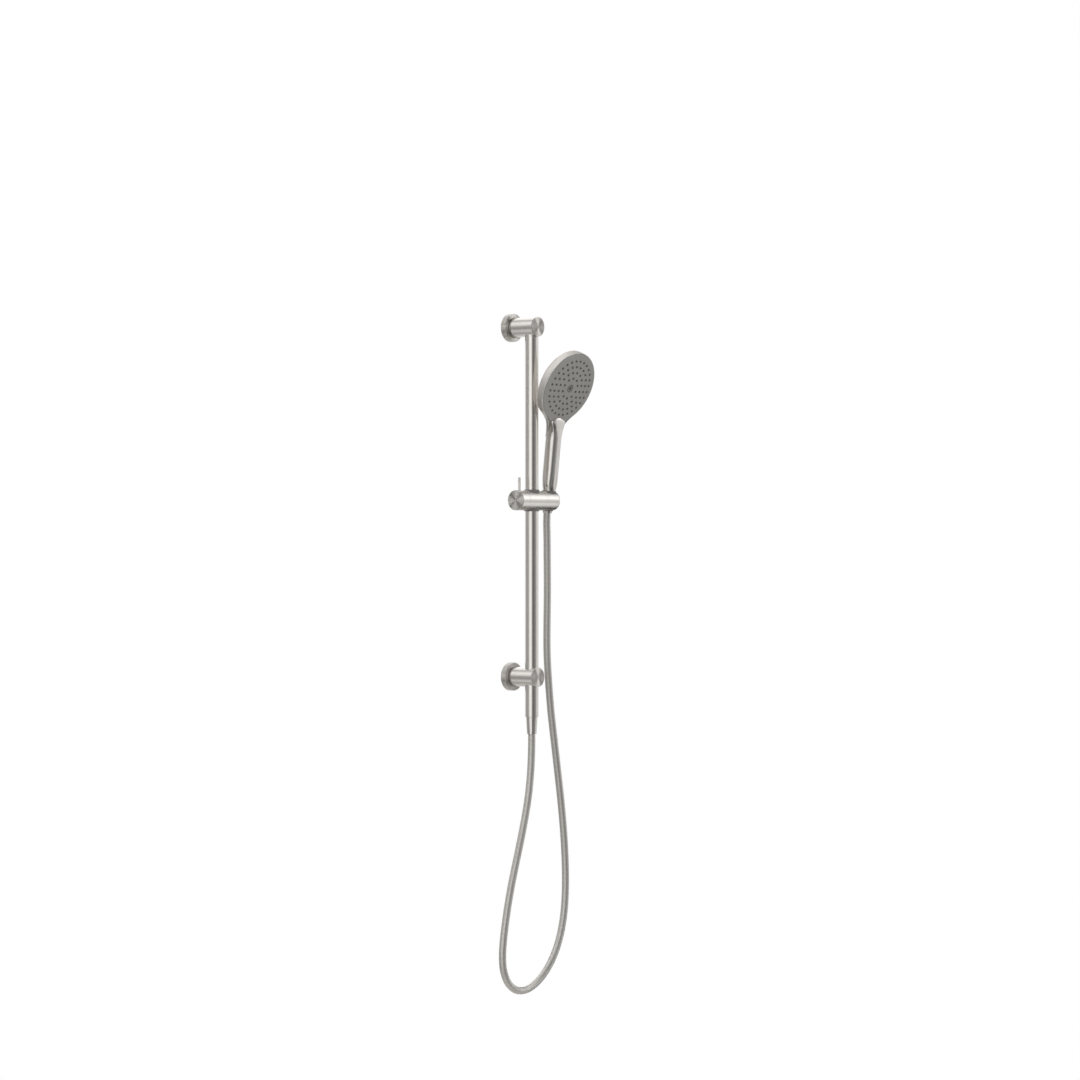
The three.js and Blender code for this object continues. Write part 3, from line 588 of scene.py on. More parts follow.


# %% [markdown]
# ## Hose
# The hose is a metre and a half long, just under 14 mm thick, and hangs in one loop under its
# own weight. Its route is a list of points, and a smooth curve passes through them all. It is
# made in six stretches, one for each part that a joint of the real shower bends: the top one
# by the hand shower when it is lifted, the next by the tilting holder, the next by the turning
# slider, and the two long legs with the bow below them by the sliding.

# %% Route of the hose, in millimetres
HOSE_RUNS = {
    "hose_top": [
        (49, -52.66, -338.72),
        (49, -50.94, -353.83),
        (49.6, -49.9, -368.73),
        (50.6, -49.5, -385),
        (51.4, -49.3, -406),
        (51.5, -49.3, -428),
    ],
    "hose_tilt": [
        (51.5, -49.3, -428),
        (51.5, -49.6, -450),
        (50.9, -50.4, -486),
        (49.8, -51.1, -518),
    ],
    "hose_swivel": [
        (49.8, -51.1, -518),
        (47.8, -52, -560),
        (46.8, -52.8, -609),
        (48.4, -53.4, -645),
        (50.3, -53.7, -668),
    ],
    "hose_right": [
        (50.3, -53.7, -668),
        (53.3, -53.9, -696.8),
        (57, -54, -725.5),
        (61.8, -54, -754),
        (66.9, -54, -782.5),
        (72, -54, -811),
        (77, -54, -839.4),
        (82, -54, -867.9),
        (86.8, -54, -896.5),
        (91.1, -54, -925.1),
        (94.8, -54, -953.8),
        (97.7, -54, -982.6),
        (99.8, -54, -1011.4),
        (100.9, -54, -1040.3),
    ],
    "hose_bow": [
        (100.9, -54, -1040.3),
        (100.5, -54, -1069.2),
        (98.1, -54, -1098.1),
        (93, -54, -1126.5),
        (84.4, -54, -1154.1),
        (71.9, -54, -1180.2),
        (55.1, -54, -1203.7),
        (34.3, -54, -1223.7),
        (9.8, -54, -1239),
        (-17.7, -54, -1247.7),
        (-46.2, -54, -1245.5),
        (-69.9, -54, -1229.5),
        (-82.8, -54, -1203.9),
        (-85.4, -54, -1175.2),
    ],
    "hose_left": [
        (-85.4, -54, -1175.2),
        (-82.4, -54, -1146.4),
        (-77.2, -54, -1118),
        (-70.9, -54, -1089.7),
        (-63.6, -54, -1061.7),
        (-55.3, -54, -1034),
        (-46.3, -54, -1006.5),
        (-37.1, -54, -979.1),
        (-28.3, -54, -951.5),
        (-20, -54, -923.8),
        (-12.7, -54, -895.8),
        (-7.1, -54, -867.5),
        (-3.3, -54, -838.8),
        (-1, -54, -809.9),
        (-0.1, -54, -781),
        (0, -54, -752.1),
    ],
}
hose_points = []
run_ends = {}
for run, points in HOSE_RUNS.items():
    start = len(hose_points) - 1 if hose_points else 0
    hose_points += [Vector(p) * MM for p in (points if not hose_points else points[1:])]
    run_ends[run] = (start, len(hose_points) - 1)


# %% Smooth curve through the points
def centripetal(p0, p1, p2, p3, share):
    """One span of a centripetal Catmull-Rom curve, from p1 at share 0 to p2 at share 1."""
    t0 = 0.0
    t1 = t0 + (p1 - p0).length ** 0.5
    t2 = t1 + (p2 - p1).length ** 0.5
    t3 = t2 + (p3 - p2).length ** 0.5
    t = t1 + (t2 - t1) * share
    a1 = p0.lerp(p1, (t - t0) / (t1 - t0))
    a2 = p1.lerp(p2, (t - t1) / (t2 - t1))
    a3 = p2.lerp(p3, (t - t2) / (t3 - t2))
    b1 = a1.lerp(a2, (t - t0) / (t2 - t0))
    b2 = a2.lerp(a3, (t - t1) / (t3 - t1))
    return b1.lerp(b2, (t - t1) / (t2 - t1))


SPAN_STEPS = 10
before = hose_points[0] * 2 - hose_points[1]
after = hose_points[-1] * 2 - hose_points[-2]
padded_points = [before] + hose_points + [after]
hose_line = []
for i in range(len(hose_points) - 1):
    four = padded_points[i : i + 4]
    hose_line += [centripetal(*four, k / SPAN_STEPS) for k in range(SPAN_STEPS)]
hose_line.append(hose_points[-1])
hose_length = sum((b - a).length for a, b in zip(hose_line, hose_line[1:]))
print("hose length in m:", round(hose_length, 3))

# %% [markdown]
# Each stretch is a ring of vertices carried along the curve. The ring always keeps one
# diameter level with the wall's own direction, so the tube never twists.

# %% Tube of each stretch
HOSE_SIDES = 28


def hose_stretch(name, line, offset):
    stations = []
    for i, point in enumerate(line):
        ahead = (line[min(i + 1, len(line) - 1)] - line[max(i - 1, 0)]).normalized()
        across = Vector((0, 1, 0)).cross(ahead).normalized()
        up = ahead.cross(across)
        angles = [math.tau * k / HOSE_SIDES for k in range(HOSE_SIDES)]
        spokes = [across * math.cos(a) + up * math.sin(a) for a in angles]
        stations.append([point / MM + spoke * HOSE_RADIUS for spoke in spokes])
    piece = skinned(name, stations, Matrix.Identity(4), sharp_ends=True)
    piece.data.uv_layers.new(name="along_hose")
    uv = piece.data.uv_layers["along_hose"].data
    lengths = [offset]
    for a, b in zip(line, line[1:]):
        lengths.append(lengths[-1] + (b - a).length)
    for face in piece.data.polygons:
        rows = [v // HOSE_SIDES for v in face.vertices]
        sides = [v % HOSE_SIDES for v in face.vertices]
        wraps = max(sides) - min(sides) > HOSE_SIDES // 2
        for corner, row, side in zip(face.loop_indices, rows, sides):
            turn = side + HOSE_SIDES if wraps and side < HOSE_SIDES // 2 else side
            uv[corner].uv = (turn / HOSE_SIDES, lengths[row])
    dress(piece, hose_skin)
    return piece, lengths[-1]


def run_line(run):
    first, last = run_ends[run]
    return hose_line[first * SPAN_STEPS : last * SPAN_STEPS + 1]


hose_pieces = {}
offset = 0.0
for run in HOSE_RUNS:
    hose_pieces[run], offset = hose_stretch(run, run_line(run), offset)
    print(run, "ends at", round(offset, 3))

# %% [markdown]
# ## Brackets
# Each bracket is an arm of solid bar that stands out of the wall, a rose that hides the
# fixing, and a turned cap on the arm's end. The two brackets differ only inside: the upper
# one slips over a boss on a wall plate, and the lower one has a way through for the water.

# %% Roses
BRACKETS = {"upper": 0, "lower": -RAIL_SPACING}
ROSE_WALL = 3
ROSE_CHAMFER = 1.2
HOLE_CHAMFER = 0.6


def bracket_place(height):
    return shifted(0, 0, height) @ OUT_OF_WALL


for side, height in BRACKETS.items():
    place = bracket_place(height)
    hole = ARM_RADIUS + GAP
    inside = ROSE_RADIUS - ROSE_WALL
    front = ROSE_THICKNESS
    rose = turned(
        f"{side}_rose_shell",
        [
            (inside, 0),
            (ROSE_RADIUS, 0),
            (ROSE_RADIUS, front - ROSE_CHAMFER),
            (ROSE_RADIUS - ROSE_CHAMFER, front),
            (hole + HOLE_CHAMFER, front),
            (hole, front - HOLE_CHAMFER),
            (hole, front - ROSE_WALL),
            (inside, front - ROSE_WALL),
        ],
        place,
        closed=True,
    )
    soften(rose, 0.35)
    fit(rose, nickel_face_outward, f"{side}_rose", "wall_set")

# %% Arms and end caps
ARM_LENGTH = ARM_REACH - CAP_THICKNESS - GAP
PLATE_THICKNESS = 4
BOSS_RADIUS = 10
BOSS_LENGTH = 20
GRUB_RADIUS = 2.5
INLET_RADIUS = 9.3
INLET_DEPTH = 15
grub_place = shifted(0, -15.7, 0)
for side, height in BRACKETS.items():
    place = bracket_place(height)
    start = PLATE_THICKNESS + GAP if side == "upper" else 0
    arm = rod(f"{side}_arm_bar", ARM_RADIUS, start, ARM_LENGTH, place)
    if side == "upper":
        boss = rod("boss_hole", BOSS_RADIUS + GAP, 0, BOSS_LENGTH + GAP, place, 48)
        carve(arm, boss, rod("screw_hole", GRUB_RADIUS + GAP, 5, 20, grub_place, 24))
    else:
        carve(arm, rod("inlet_hole", INLET_RADIUS, -1, INLET_DEPTH, place, 64))
    soften(arm, 0.45)
    fit(arm, nickel_outward, f"{side}_arm", "wall_set")
    cap = rod(f"{side}_cap_disc", ARM_RADIUS, ARM_REACH - CAP_THICKNESS, ARM_REACH, place)
    soften(cap, 0.45)
    fit(cap, nickel_face_outward, f"{side}_end_cap", "wall_set")

# %% [markdown]
# The wall plate and the grub screw hide behind the upper rose. They are seen only from the
# wall's side or from below, but a part for a library is looked at from everywhere.

# %% Wall plate and grub screw
PLATE_RADIUS = 21
PLATE_SCREW_OFFSET = 14.5
HEX_KEY_RADIUS = 1.45
place = bracket_place(0)
plate = turned(
    "wall_plate_disc",
    [
        (0, 0),
        (PLATE_RADIUS, 0),
        (PLATE_RADIUS, PLATE_THICKNESS),
        (BOSS_RADIUS, PLATE_THICKNESS),
        (BOSS_RADIUS, BOSS_LENGTH),
        (0, BOSS_LENGTH),
    ],
    place,
)
for side in (-1, 1):
    sink = turned(
        "sink",
        [(0, -1), (2.6, -1), (2.6, 0.6), (6.2, 4.2), (6.2, 6), (0, 6)],
        place @ shifted(PLATE_SCREW_OFFSET * side, 0, 0),
        32,
    )
    carve(plate, sink)
soften(plate, 0.4)
fit(plate, stainless, "upper_wall_plate", "wall_set")

grub = rod("grub_screw", GRUB_RADIUS, -18.2, -10.3, grub_place, 32)
carve(grub, rod("hex_key_hole", HEX_KEY_RADIUS, -19, -15.2, grub_place, 6))
soften(grub, 0.2, 2)
fit(grub, stainless, "upper_arm_grub_screw", "wall_set")

# %% [markdown]
# ## Rail, outlet and lower nut
# The rail is a plain tube between the arms. Below the lower arm a shorter tube of the same
# size carries the water down to the hose, whose conical nut screws on to it.

# %% Rail and outlet tube
RAIL_BORE = 11
RAIL_SEAT = 6.3  # from an arm's axis to the end of the tube that sits in it
OUTLET_BORE = 5
THREAD_RADIUS = 8.7
HOSE_BORE = 7
rail_axis = shifted(0, -RAIL_OFFSET, 0)
rail = turned(
    "rail",
    [
        (RAIL_BORE, -RAIL_SPACING + RAIL_SEAT),
        (RAIL_RADIUS, -RAIL_SPACING + RAIL_SEAT),
        (RAIL_RADIUS, -RAIL_SEAT),
        (RAIL_BORE, -RAIL_SEAT),
    ],
    rail_axis,
    128,
    closed=True,
)
outlet = turned(
    "outlet",
    [
        (OUTLET_BORE, -RAIL_SEAT),
        (OUTLET_BORE, -56.7),
        (HOSE_BORE, -56.7),
        (HOSE_BORE, -87),
        (THREAD_RADIUS, -87),
        (THREAD_RADIUS, -75),
        (RAIL_RADIUS, -75),
        (RAIL_RADIUS, -RAIL_SEAT),
    ],
    rail_axis @ shifted(0, 0, -RAIL_SPACING),
    closed=True,
)
soften(rail, 0.3)
soften(outlet, 0.4)
for piece, node in ((rail, "rail_tube"), (outlet, "outlet_tube")):
    fit(piece, nickel_upright, node, "wall_set")

# %% Lower hose nut
NUT_BORE = 9.0
NUT_HOSE_HOLE = 7.2
lower_nut = turned(
    "lower_nut",
    [
        (NUT_BORE, -75.3),
        (10.8, -75.3),
        (10.8, -77.3),
        (8.9, -107.3),
        (NUT_HOSE_HOLE, -107.3),
        (NUT_HOSE_HOLE, -92.1),
        (NUT_BORE, -92.1),
    ],
    rail_axis @ shifted(0, 0, -RAIL_SPACING),
    closed=True,
)
soften(lower_nut, 0.4)
fit(lower_nut, nickel_upright, "lower_hose_nut", "wall_set")

# %% [markdown]
# ## Slider
# The slider is a short bar across the rail. Two sleeves line its bore, a knob with a lever
# pin closes its left end, and a holder that tilts makes its right end. All three are the same
# diameter, so that they read as one bar with two fine seams.

# %% Slider body and sleeves
KNOB_SEAM = 24.5
HOLDER_SEAM = 22.5
SLEEVE_RADIUS = 14.35
SLEEVE_BORE = 12.85
slider_place = shifted(0, -RAIL_OFFSET, -SLIDER_DROP)
slider_axis = slider_place @ ALONG_X
slider_bar = rod("slider_bar", SLIDER_RADIUS, -KNOB_SEAM, HOLDER_SEAM, slider_axis)
combine(slider_bar, "UNION", rod("spigot", 7, 10, 29.5, slider_axis, 48))
carve(slider_bar, rod("sleeve_hole", SLEEVE_RADIUS + GAP, -30, 30, slider_place))
soften(slider_bar, 0.3)
fit(slider_bar, nickel_across, "slider_body", "slider")

for name, low, high in (("upper", 8.3, 20.3), ("lower", -20.3, -8.3)):
    sleeve = turned(
        f"{name}_sleeve",
        [(SLEEVE_BORE, low), (SLEEVE_RADIUS, low), (SLEEVE_RADIUS, high), (SLEEVE_BORE, high)],
        slider_place,
        closed=True,
    )
    soften(sleeve, 0.3)
    fit(sleeve, grey_acetal, f"{name}_rail_sleeve", "carriage")

# %% Locking knob, its cap and its lever pin
KNOB_BORE = 4.8
LEVER_RADIUS = 2.5
LEVER_TOP = 43.5
lever_place = slider_place @ shifted(-LEVER_REACH, 0, 0)
knob_barrel = turned(
    "knob_barrel",
    [(KNOB_BORE, -45.7), (SLIDER_RADIUS, -45.7), (SLIDER_RADIUS, -24.8), (KNOB_BORE, -24.8)],
    slider_axis,
    closed=True,
)
carve(knob_barrel, rod("lever_hole", 2.7, 6, 25, lever_place, 32))
soften(knob_barrel, 0.3)
fit(knob_barrel, nickel_across, "lock_knob", "knob")

knob_disc = rod("knob_disc", SLIDER_RADIUS, -KNOB_REACH, -46, slider_axis)
soften(knob_disc, 0.45)
fit(knob_disc, nickel_face_across, "knob_cap", "knob")

lever = turned(
    "lever_rod",
    [
        (0, 8),
        (LEVER_RADIUS, 8),
        (LEVER_RADIUS, 42.2),
        (2.1, 43.1),
        (1.2, LEVER_TOP),
        (0, LEVER_TOP),
    ],
    lever_place,
    48,
)
soften(lever, 0.2, 2)
fit(lever, nickel_plated, "lever_pin", "knob")

# %% [markdown]
# ## Holder
# The holder is the last third of the bar. A cone bored through it takes the hand shower, and
# a slot in its outer end lets the hose pass. A thin plastic liner keeps nickel off nickel.

# %% Holder body and liner
SEAT_RADIUS = 10.4
SEAT_TAPER = 0.07
LINER_OUTSIDE = 1.8  # from the cone of the seat to the outside of the liner
SLOT_HALF_WIDTH = 7.9
SLOT_HEIGHT = 22
holder_place = slider_place @ Matrix.Rotation(math.radians(HOLDER_TILT), 4, "X")
handset_place = holder_place @ shifted(SOCKET_OFFSET, 0, 0)
holder_axis = holder_place @ ALONG_X


def seat_radius(height):
    return SEAT_RADIUS + SEAT_TAPER * height


def hose_slot(name, half_width):
    low, high = (0, -half_width, -SLOT_HEIGHT), (20, half_width, SLOT_HEIGHT)
    return block(name, low, high, handset_place)


holder_bar = turned(
    "holder_bar",
    [
        (0, 22.8),
        (SLIDER_RADIUS, 22.8),
        (SLIDER_RADIUS, 23.4),
        (SLIDER_RADIUS, 59.4),
        (SLIDER_RADIUS, 60),
        (18.3, 62),
        (16.5, HOLDER_REACH),
        (0, HOLDER_REACH),
    ],
    holder_axis,
)
socket = turned(
    "socket",
    [(0, -21), (seat_radius(-21) + 2.1, -21), (seat_radius(21) + 2.1, 21), (0, 21)],
    handset_place,
)
ring_hole = rod("ring_hole", 9.1, 20, 29.8, holder_axis, 48)
carve(holder_bar, socket, hose_slot("slot", SLOT_HALF_WIDTH), ring_hole)
soften(holder_bar, 0.5)
fit(holder_bar, nickel_across, "holder_body", "holder")

liner = turned(
    "liner",
    [
        (seat_radius(-19) + GAP, -19),
        (seat_radius(-19) + LINER_OUTSIDE, -19),
        (seat_radius(19) + LINER_OUTSIDE, 19),
        (seat_radius(19) + GAP, 19),
    ],
    handset_place,
    closed=True,
)
carve(liner, hose_slot("liner_slot", 8.2))
soften(liner, 0.25, 2)
fit(liner, grey_acetal, "holder_liner", "holder")

# %% [markdown]
# ## Hand shower
# The head is a shallow drum whose outline runs down into the handle like a drop, and the
# handle is a rounded bar with a flat front that ends in a tongue over the grey face. The head
# is skinned from rings of one outline: each ring lies a little further back and further in.
# The handle is skinned from level rings, whose widths and depths come from a short table.


# %% Outline of the head
NECK_START = 38.0  # degrees from straight down, where the round outline leaves the circle
NECK_END = 104.0
NECK_END_WIDTH = 14.5
NECK_STEPS = 60
FOOT_STEPS = 12
OUTLINE_POINTS = 192


def eased_share(t):
    t = min(1.0, max(0.0, t))
    return t * t * (3 - 2 * t)


def neck_width(v, inset=0.0):
    """Half width of the neck at a distance v below the middle of the face."""
    radius = HEAD_RADIUS
    start = radius * math.cos(math.radians(NECK_START))
    width = radius * math.sin(math.radians(NECK_START))
    slope = -start / width
    span = NECK_END - start
    t = (v - start) / span
    value = (2 * t**3 - 3 * t**2 + 1) * width + (t**3 - 2 * t**2 + t) * span * slope
    value += (3 * t**2 - 2 * t**3) * NECK_END_WIDTH
    return value - inset


def drop_outline(end, inset=0.0, pinch=0.0, corner=4.0):
    """Points round a drop: a circle whose lower part narrows to the neck."""
    radius = HEAD_RADIUS - inset
    half = []
    for i in range(181):
        angle = math.radians(180 - i)
        if 180 - i >= NECK_START:
            half.append(Vector((radius * math.sin(angle), radius * math.cos(angle))))
    start = HEAD_RADIUS * math.cos(math.radians(NECK_START))
    for k in range(1, NECK_STEPS + 1):
        v = start + (end - start) * k / NECK_STEPS
        width = neck_width(v, inset) - pinch * eased_share((v - start) / (end - start))
        left = end - v
        if left < corner:
            width -= corner - math.sqrt(max(0.0, corner**2 - (corner - left) ** 2))
        half.append(Vector((width, v)))
    last = half[-1]
    for k in range(1, FOOT_STEPS + 1):
        half.append(Vector((last.x * (1 - k / FOOT_STEPS), end)))
    lengths = [0.0]
    for a, b in zip(half, half[1:]):
        lengths.append(lengths[-1] + (b - a).length)
    points = []
    j = 0
    steps = OUTLINE_POINTS // 2
    for i in range(steps + 1):
        want = lengths[-1] * i / steps
        while j < len(half) - 2 and lengths[j + 1] < want:
            j += 1
        span = max(lengths[j + 1] - lengths[j], 1e-9)
        points.append(half[j].lerp(half[j + 1], (want - lengths[j]) / span))
    return points + [Vector((-p.x, p.y)) for p in points[-2:0:-1]]


def drawn_in(points, amount):
    """Moves each point of a closed outline inwards, square to the outline."""
    result = []
    count = len(points)
    for i, point in enumerate(points):
        ahead = (points[(i + 1) % count] - points[i - 1]).normalized()
        inward = Vector((ahead.y, -ahead.x))
        if inward.dot(-point) < 0:
            inward = -inward
        result.append(point + inward * amount)
    return result


# %% Head shell
FACE_MIDDLE = shifted(0, -FACE_REACH, FACE_HEIGHT)
FACE_TURN = Matrix.Rotation(math.radians(FACE_PITCH - 90), 4, "X")
face_place = handset_place @ FACE_MIDDLE @ FACE_TURN

# How far the back has risen, at shares of the way from the middle to the edge.
DOME = [(1.0, 0.0), (0.985, 0.16), (0.97, 0.26), (0.88, 0.58), (0.6, 0.9), (0.3, 0.97), (0, 1)]
# How much the side wall loses, from which distance below the middle, and over how far.
RIM_LOSSES = [(5.2, 42, 20), (3.0, 56, 16), (1.3, 80, 24)]
# The spine that carries the handle up on to the back.
SPINE_DEPTH = 12.0
SPINE_START_DEPTH = 35.4
SPINE_SLOPE = 0.31
SPINE_EDGE = 6
SPINE_START, SPINE_FADE = 61, 10


def dome_rise(share):
    for (outer, low), (inner, high) in zip(DOME, DOME[1:]):
        if share >= inner:
            t = (outer - share) / (outer - inner)
            return low + (high - low) * t
    return 1.0


def rim_depth(v):
    """Depth of the side wall: less where the head passes the brackets, and down the neck."""
    depth = RIM_THICKNESS
    for loss, start, over in RIM_LOSSES:
        depth -= loss * eased_share((v - start) / over)
    return depth


def back_depth(u, v):
    share = min(1.0, math.hypot(u, v) / HEAD_RADIUS)
    depth = rim_depth(v) + (HEAD_THICKNESS - RIM_THICKNESS) * dome_rise(share)
    full = min(SPINE_DEPTH, SPINE_START_DEPTH - SPINE_SLOPE * v) - depth
    inward = eased_share((neck_width(v) - abs(u)) / SPINE_EDGE)
    return depth + max(0.0, full) * inward * eased_share((v - SPINE_START) / SPINE_FADE)


# Rings from the seat of the face round its edge, by how far in and which share of the depth.
FRONT_RINGS = [(3.0, 0.33), (1.2, 0.33), (1.0, 0.02), (0.7, 0.0), (0.3, 0.03), (0.0, 0.1)]
SIDE_RINGS = [0.3, 0.55, 0.8]
CORNER_RINGS = [(0.15, -0.05), (0.45, 0.35)]
BACK_RINGS = [0.985, 0.975, 0.96, 0.93, 0.89, 0.84, 0.78, 0.7, 0.6, 0.48, 0.35, 0.22, 0.1]

outline = drop_outline(NECK_END)
stations = []
for inset, share in FRONT_RINGS:
    ring = drawn_in(outline, inset)
    stations.append([(p.x, p.y, rim_depth(p.y) * share) for p in ring])
for share in SIDE_RINGS:
    stations.append([(p.x, p.y, rim_depth(p.y) * share) for p in outline])
for inset, extra in CORNER_RINGS:
    ring = drawn_in(outline, inset)
    stations.append([(p.x, p.y, rim_depth(p.y) + extra) for p in ring])
for scale in BACK_RINGS:
    ring = [p * scale for p in outline]
    stations.append([(p.x, p.y, back_depth(p.x, p.y)) for p in ring])
head_shell = skinned("head_shell", stations, face_place)
fit(head_shell, nickel_plated_head, "handset_shell", "handset")

# %% [markdown]
# The table gives a height up the handle, half widths at the front and at the back, where the
# front and back lie, and how square the ring is. The grip is narrower in front than behind,
# so its sides look a little forward and carry a light band. Between the rows the values
# follow a curve that never overshoots, so that the handle has no waves.

# %% Handle
HANDLE_ROWS = [
    (4.3, 10.7, 10.7, -10.7, 10.7, 2.0),
    (12, 11.24, 11.24, -11.24, 11.24, 2.0),
    (19, 11.9, 11.8, -11.75, 11.75, 2.0),
    (26, 13.4, 13.2, -12.0, 12.0, 2.3),
    (33, 14.6, 14.4, -12.0, 12.0, 2.5),
    (42, 13.6, 15.8, -12.4, 12.0, 2.7),
    (60, 12.8, 16.6, -12.7, 11.8, 2.8),
    (116, 12.8, 16.6, -12.7, 11.8, 2.8),
    (130, 14.6, 16.2, -12.4, 11.9, 3.2),
    (138.5, 17.2, 15.7, -12.0, 12.0, 3.8),
    (145, 19.7, 15.3, -11.9, 12.0, 4.2),
    (149, 20.8, 15.1, -11.8, 12.0, 4.4),
    (152, 20.1, 14.9, -11.6, 11.9, 4.4),
    (154.5, 17.4, 14.7, -11.3, 11.7, 4.2),
    (156.5, 13.3, 14.5, -10.9, 11.2, 4.0),
    (158, 7.8, 14.2, -10.4, 10.5, 3.6),
    (158.8, 4.0, 14.0, -9.0, 10.2, 3.2),
    (161, 3.0, 13.8, -2.0, 9.6, 3.0),
    (172, 3.0, 11.5, -2.0, 5.6, 3.0),
    (183, 3.0, 9.0, -5.0, 1.6, 3.0),
    (192, 3.0, 5.0, -8.0, -2.5, 3.0),
]


def eased(rows, at):
    """Values of a table at a height, on a curve that never overshoots its rows."""
    i = 0
    while i < len(rows) - 2 and rows[i + 1][0] < at:
        i += 1
    span = rows[i + 1][0] - rows[i][0]
    t = (at - rows[i][0]) / span

    def slope(j, column):
        if j <= 0 or j >= len(rows) - 1:
            return 0.0
        left = (rows[j][column] - rows[j - 1][column]) / (rows[j][0] - rows[j - 1][0])
        right = (rows[j + 1][column] - rows[j][column]) / (rows[j + 1][0] - rows[j][0])
        return 0.0 if left * right <= 0 else 2 * left * right / (left + right)

    values = []
    for column in range(1, len(rows[0])):
        a, b = rows[i][column], rows[i + 1][column]
        value = (2 * t**3 - 3 * t**2 + 1) * a + (3 * t**2 - 2 * t**3) * b
        value += (t**3 - 2 * t**2 + t) * span * slope(i, column)
        value += (t**3 - t**2) * span * slope(i + 1, column)
        values.append(value)
    return values


HANDLE_SIDES = 96


def handle_ring(height):
    front_width, back_width, front, back, squareness = eased(HANDLE_ROWS, height)
    middle, half_depth = (front + back) / 2, (back - front) / 2
    power = 2 / squareness
    ring = []
    for k in range(HANDLE_SIDES):
        c = math.cos(math.tau * k / HANDLE_SIDES)
        s = math.sin(math.tau * k / HANDLE_SIDES)
        across = math.copysign(abs(c) ** power, c)
        deep = math.copysign(abs(s) ** power, s)
        width = front_width + (back_width - front_width) * (deep + 1) / 2
        ring.append((across * width, middle + half_depth * deep, height))
    return ring


heights = [4.3, 5.0, 12, 19, 21, 23, 25, 27, 30, 33, 36, 40, 45, 50, 55, 60, 70, 80, 90, 100]
heights += [110, 116, 120, 124, 128, 131, 134, 137, 140, 143, 146, 149]
heights += [150 + k * 0.5 for k in range(29)] + [165 + k * 2 for k in range(15)]
handle = skinned("handle", [handle_ring(h) for h in heights], handset_place)
fit(handle, nickel_plated, "handset_shell", "handset")

# %% [markdown]
# ## Spray face
# The face is a grey moulding with the same drop outline. It bulges a little, and soft nozzles
# stand through it in four rings, so that a thumb can rub lime off them. Each is a short cone
# with a dimple in its tip. A dark insert with one shallow groove fills the middle.

# %% Face plate
FACE_EDGE_FRONT = -0.8
FACE_DOME = 3.0
FACE_INSET = 1.3
FACE_END = 68.4
FACE_PINCH = 4.0
# Rings round the edge, by how far in and how deep, then shares of the way to the middle.
FACE_EDGE_RINGS = [(0.0, 1.7), (0.0, 0.4), (0.0, -0.1), (0.12, -0.45), (0.4, -0.72)]
FACE_LAST_INSET = 0.8
FACE_RINGS = [0.97, 0.93, 0.88, 0.8, 0.7, 0.6, 0.5, 0.4, 0.3, 0.2, 0.1]


def face_front(u, v):
    share = min(1.0, math.hypot(u, v) / (HEAD_RADIUS - FACE_INSET))
    return FACE_EDGE_FRONT - FACE_DOME * (1 - share**2)


outline = drop_outline(FACE_END, FACE_INSET, FACE_PINCH, corner=1.5)
stations = []
for inset, depth in FACE_EDGE_RINGS:
    stations.append([(p.x, p.y, depth) for p in drawn_in(outline, inset)])
rings = [[(p.x, p.y) for p in drawn_in(outline, FACE_LAST_INSET)]]
rings += [[(p.x * scale, p.y * scale) for p in outline] for scale in FACE_RINGS]
for ring in rings:
    stations.append([(u, v, face_front(u, v)) for u, v in ring])
face_plate = skinned("face_plate", stations, face_place)
fit(face_plate, face_plastic, "spray_face", "handset")

# %% Nozzles
NOZZLE_RINGS = [(19.9, 10), (31.6, 16), (42.9, 22), (54.3, 28)]  # radius and count
NOZZLE_SIDES = 12
NOZZLE_TIP, NOZZLE_FOOT = 1.8, 2.9
NOZZLE_LENGTH = 2.6
NOZZLE_WALL = 0.45
NOZZLE_DIMPLE = 0.7
bm = bmesh.new()
for radius, count in NOZZLE_RINGS:
    for i in range(count):
        angle = math.tau * (i + 0.5) / count
        u, v = radius * math.cos(angle), radius * math.sin(angle)
        made = bmesh.ops.create_cone(
            bm,
            cap_ends=True,
            segments=NOZZLE_SIDES,
            radius1=NOZZLE_TIP * MM,
            radius2=NOZZLE_FOOT * MM,
            depth=NOZZLE_LENGTH * MM,
        )["verts"]
        middle = Vector((u, v, face_front(u, v) + 0.2)) * MM
        tip = [
            f
            for f in {f for vert in made for f in vert.link_faces}
            if len(f.verts) == NOZZLE_SIDES and f.calc_center_median().z < 0
        ]
        ring = bmesh.ops.inset_individual(bm, faces=tip, thickness=NOZZLE_WALL * MM, depth=0)
        for face in tip:
            bmesh.ops.translate(bm, vec=(0, 0, NOZZLE_DIMPLE * MM), verts=face.verts)
        whole = set(made) | {vert for face in ring["faces"] + tip for vert in face.verts}
        bmesh.ops.translate(bm, vec=middle, verts=list(whole))
nozzles = finished("nozzles", bm, face_place)
soften(nozzles, 0.12, 1, 40)
fit(nozzles, nozzle_silicone, "nozzle_mat", "handset")
print("nozzles:", sum(count for _, count in NOZZLE_RINGS))

# %% Middle insert
front = face_front(0, 0)
insert = turned(
    "middle_insert",
    [
        (0, front - 0.1),
        (4.2, front - 0.1),
        (4.8, front + 0.35),
        (5.6, front + 0.35),
        (6.2, front - 0.25),
        (7.6, front - 0.1),
        (8.2, front + 0.4),
        (8.2, front + 1.5),
        (0, front + 1.5),
    ],
    face_place,
    64,
)
soften(insert, 0.2, 2)
fit(insert, nozzle_silicone, "centre_jet", "handset")

# %% [markdown]
# ## Upper hose nut
# The nut carries on the cone of the handle's foot, so the two sit in the socket together. It
# is turned from one profile, and its foot narrows to a hole that the hose just passes.

# %% Upper hose nut
upper_nut = turned(
    "upper_nut",
    [
        (NUT_BORE, 4),
        (seat_radius(4), 4),
        (seat_radius(-22), -22),
        (8.2, -23.5),
        (NUT_HOSE_HOLE, -23.5),
        (NUT_HOSE_HOLE, -11.8),
        (NUT_BORE, -11.8),
    ],
    handset_place,
    closed=True,
)
soften(upper_nut, 0.3)
fit(upper_nut, nickel_plated, "upper_hose_nut", "handset")
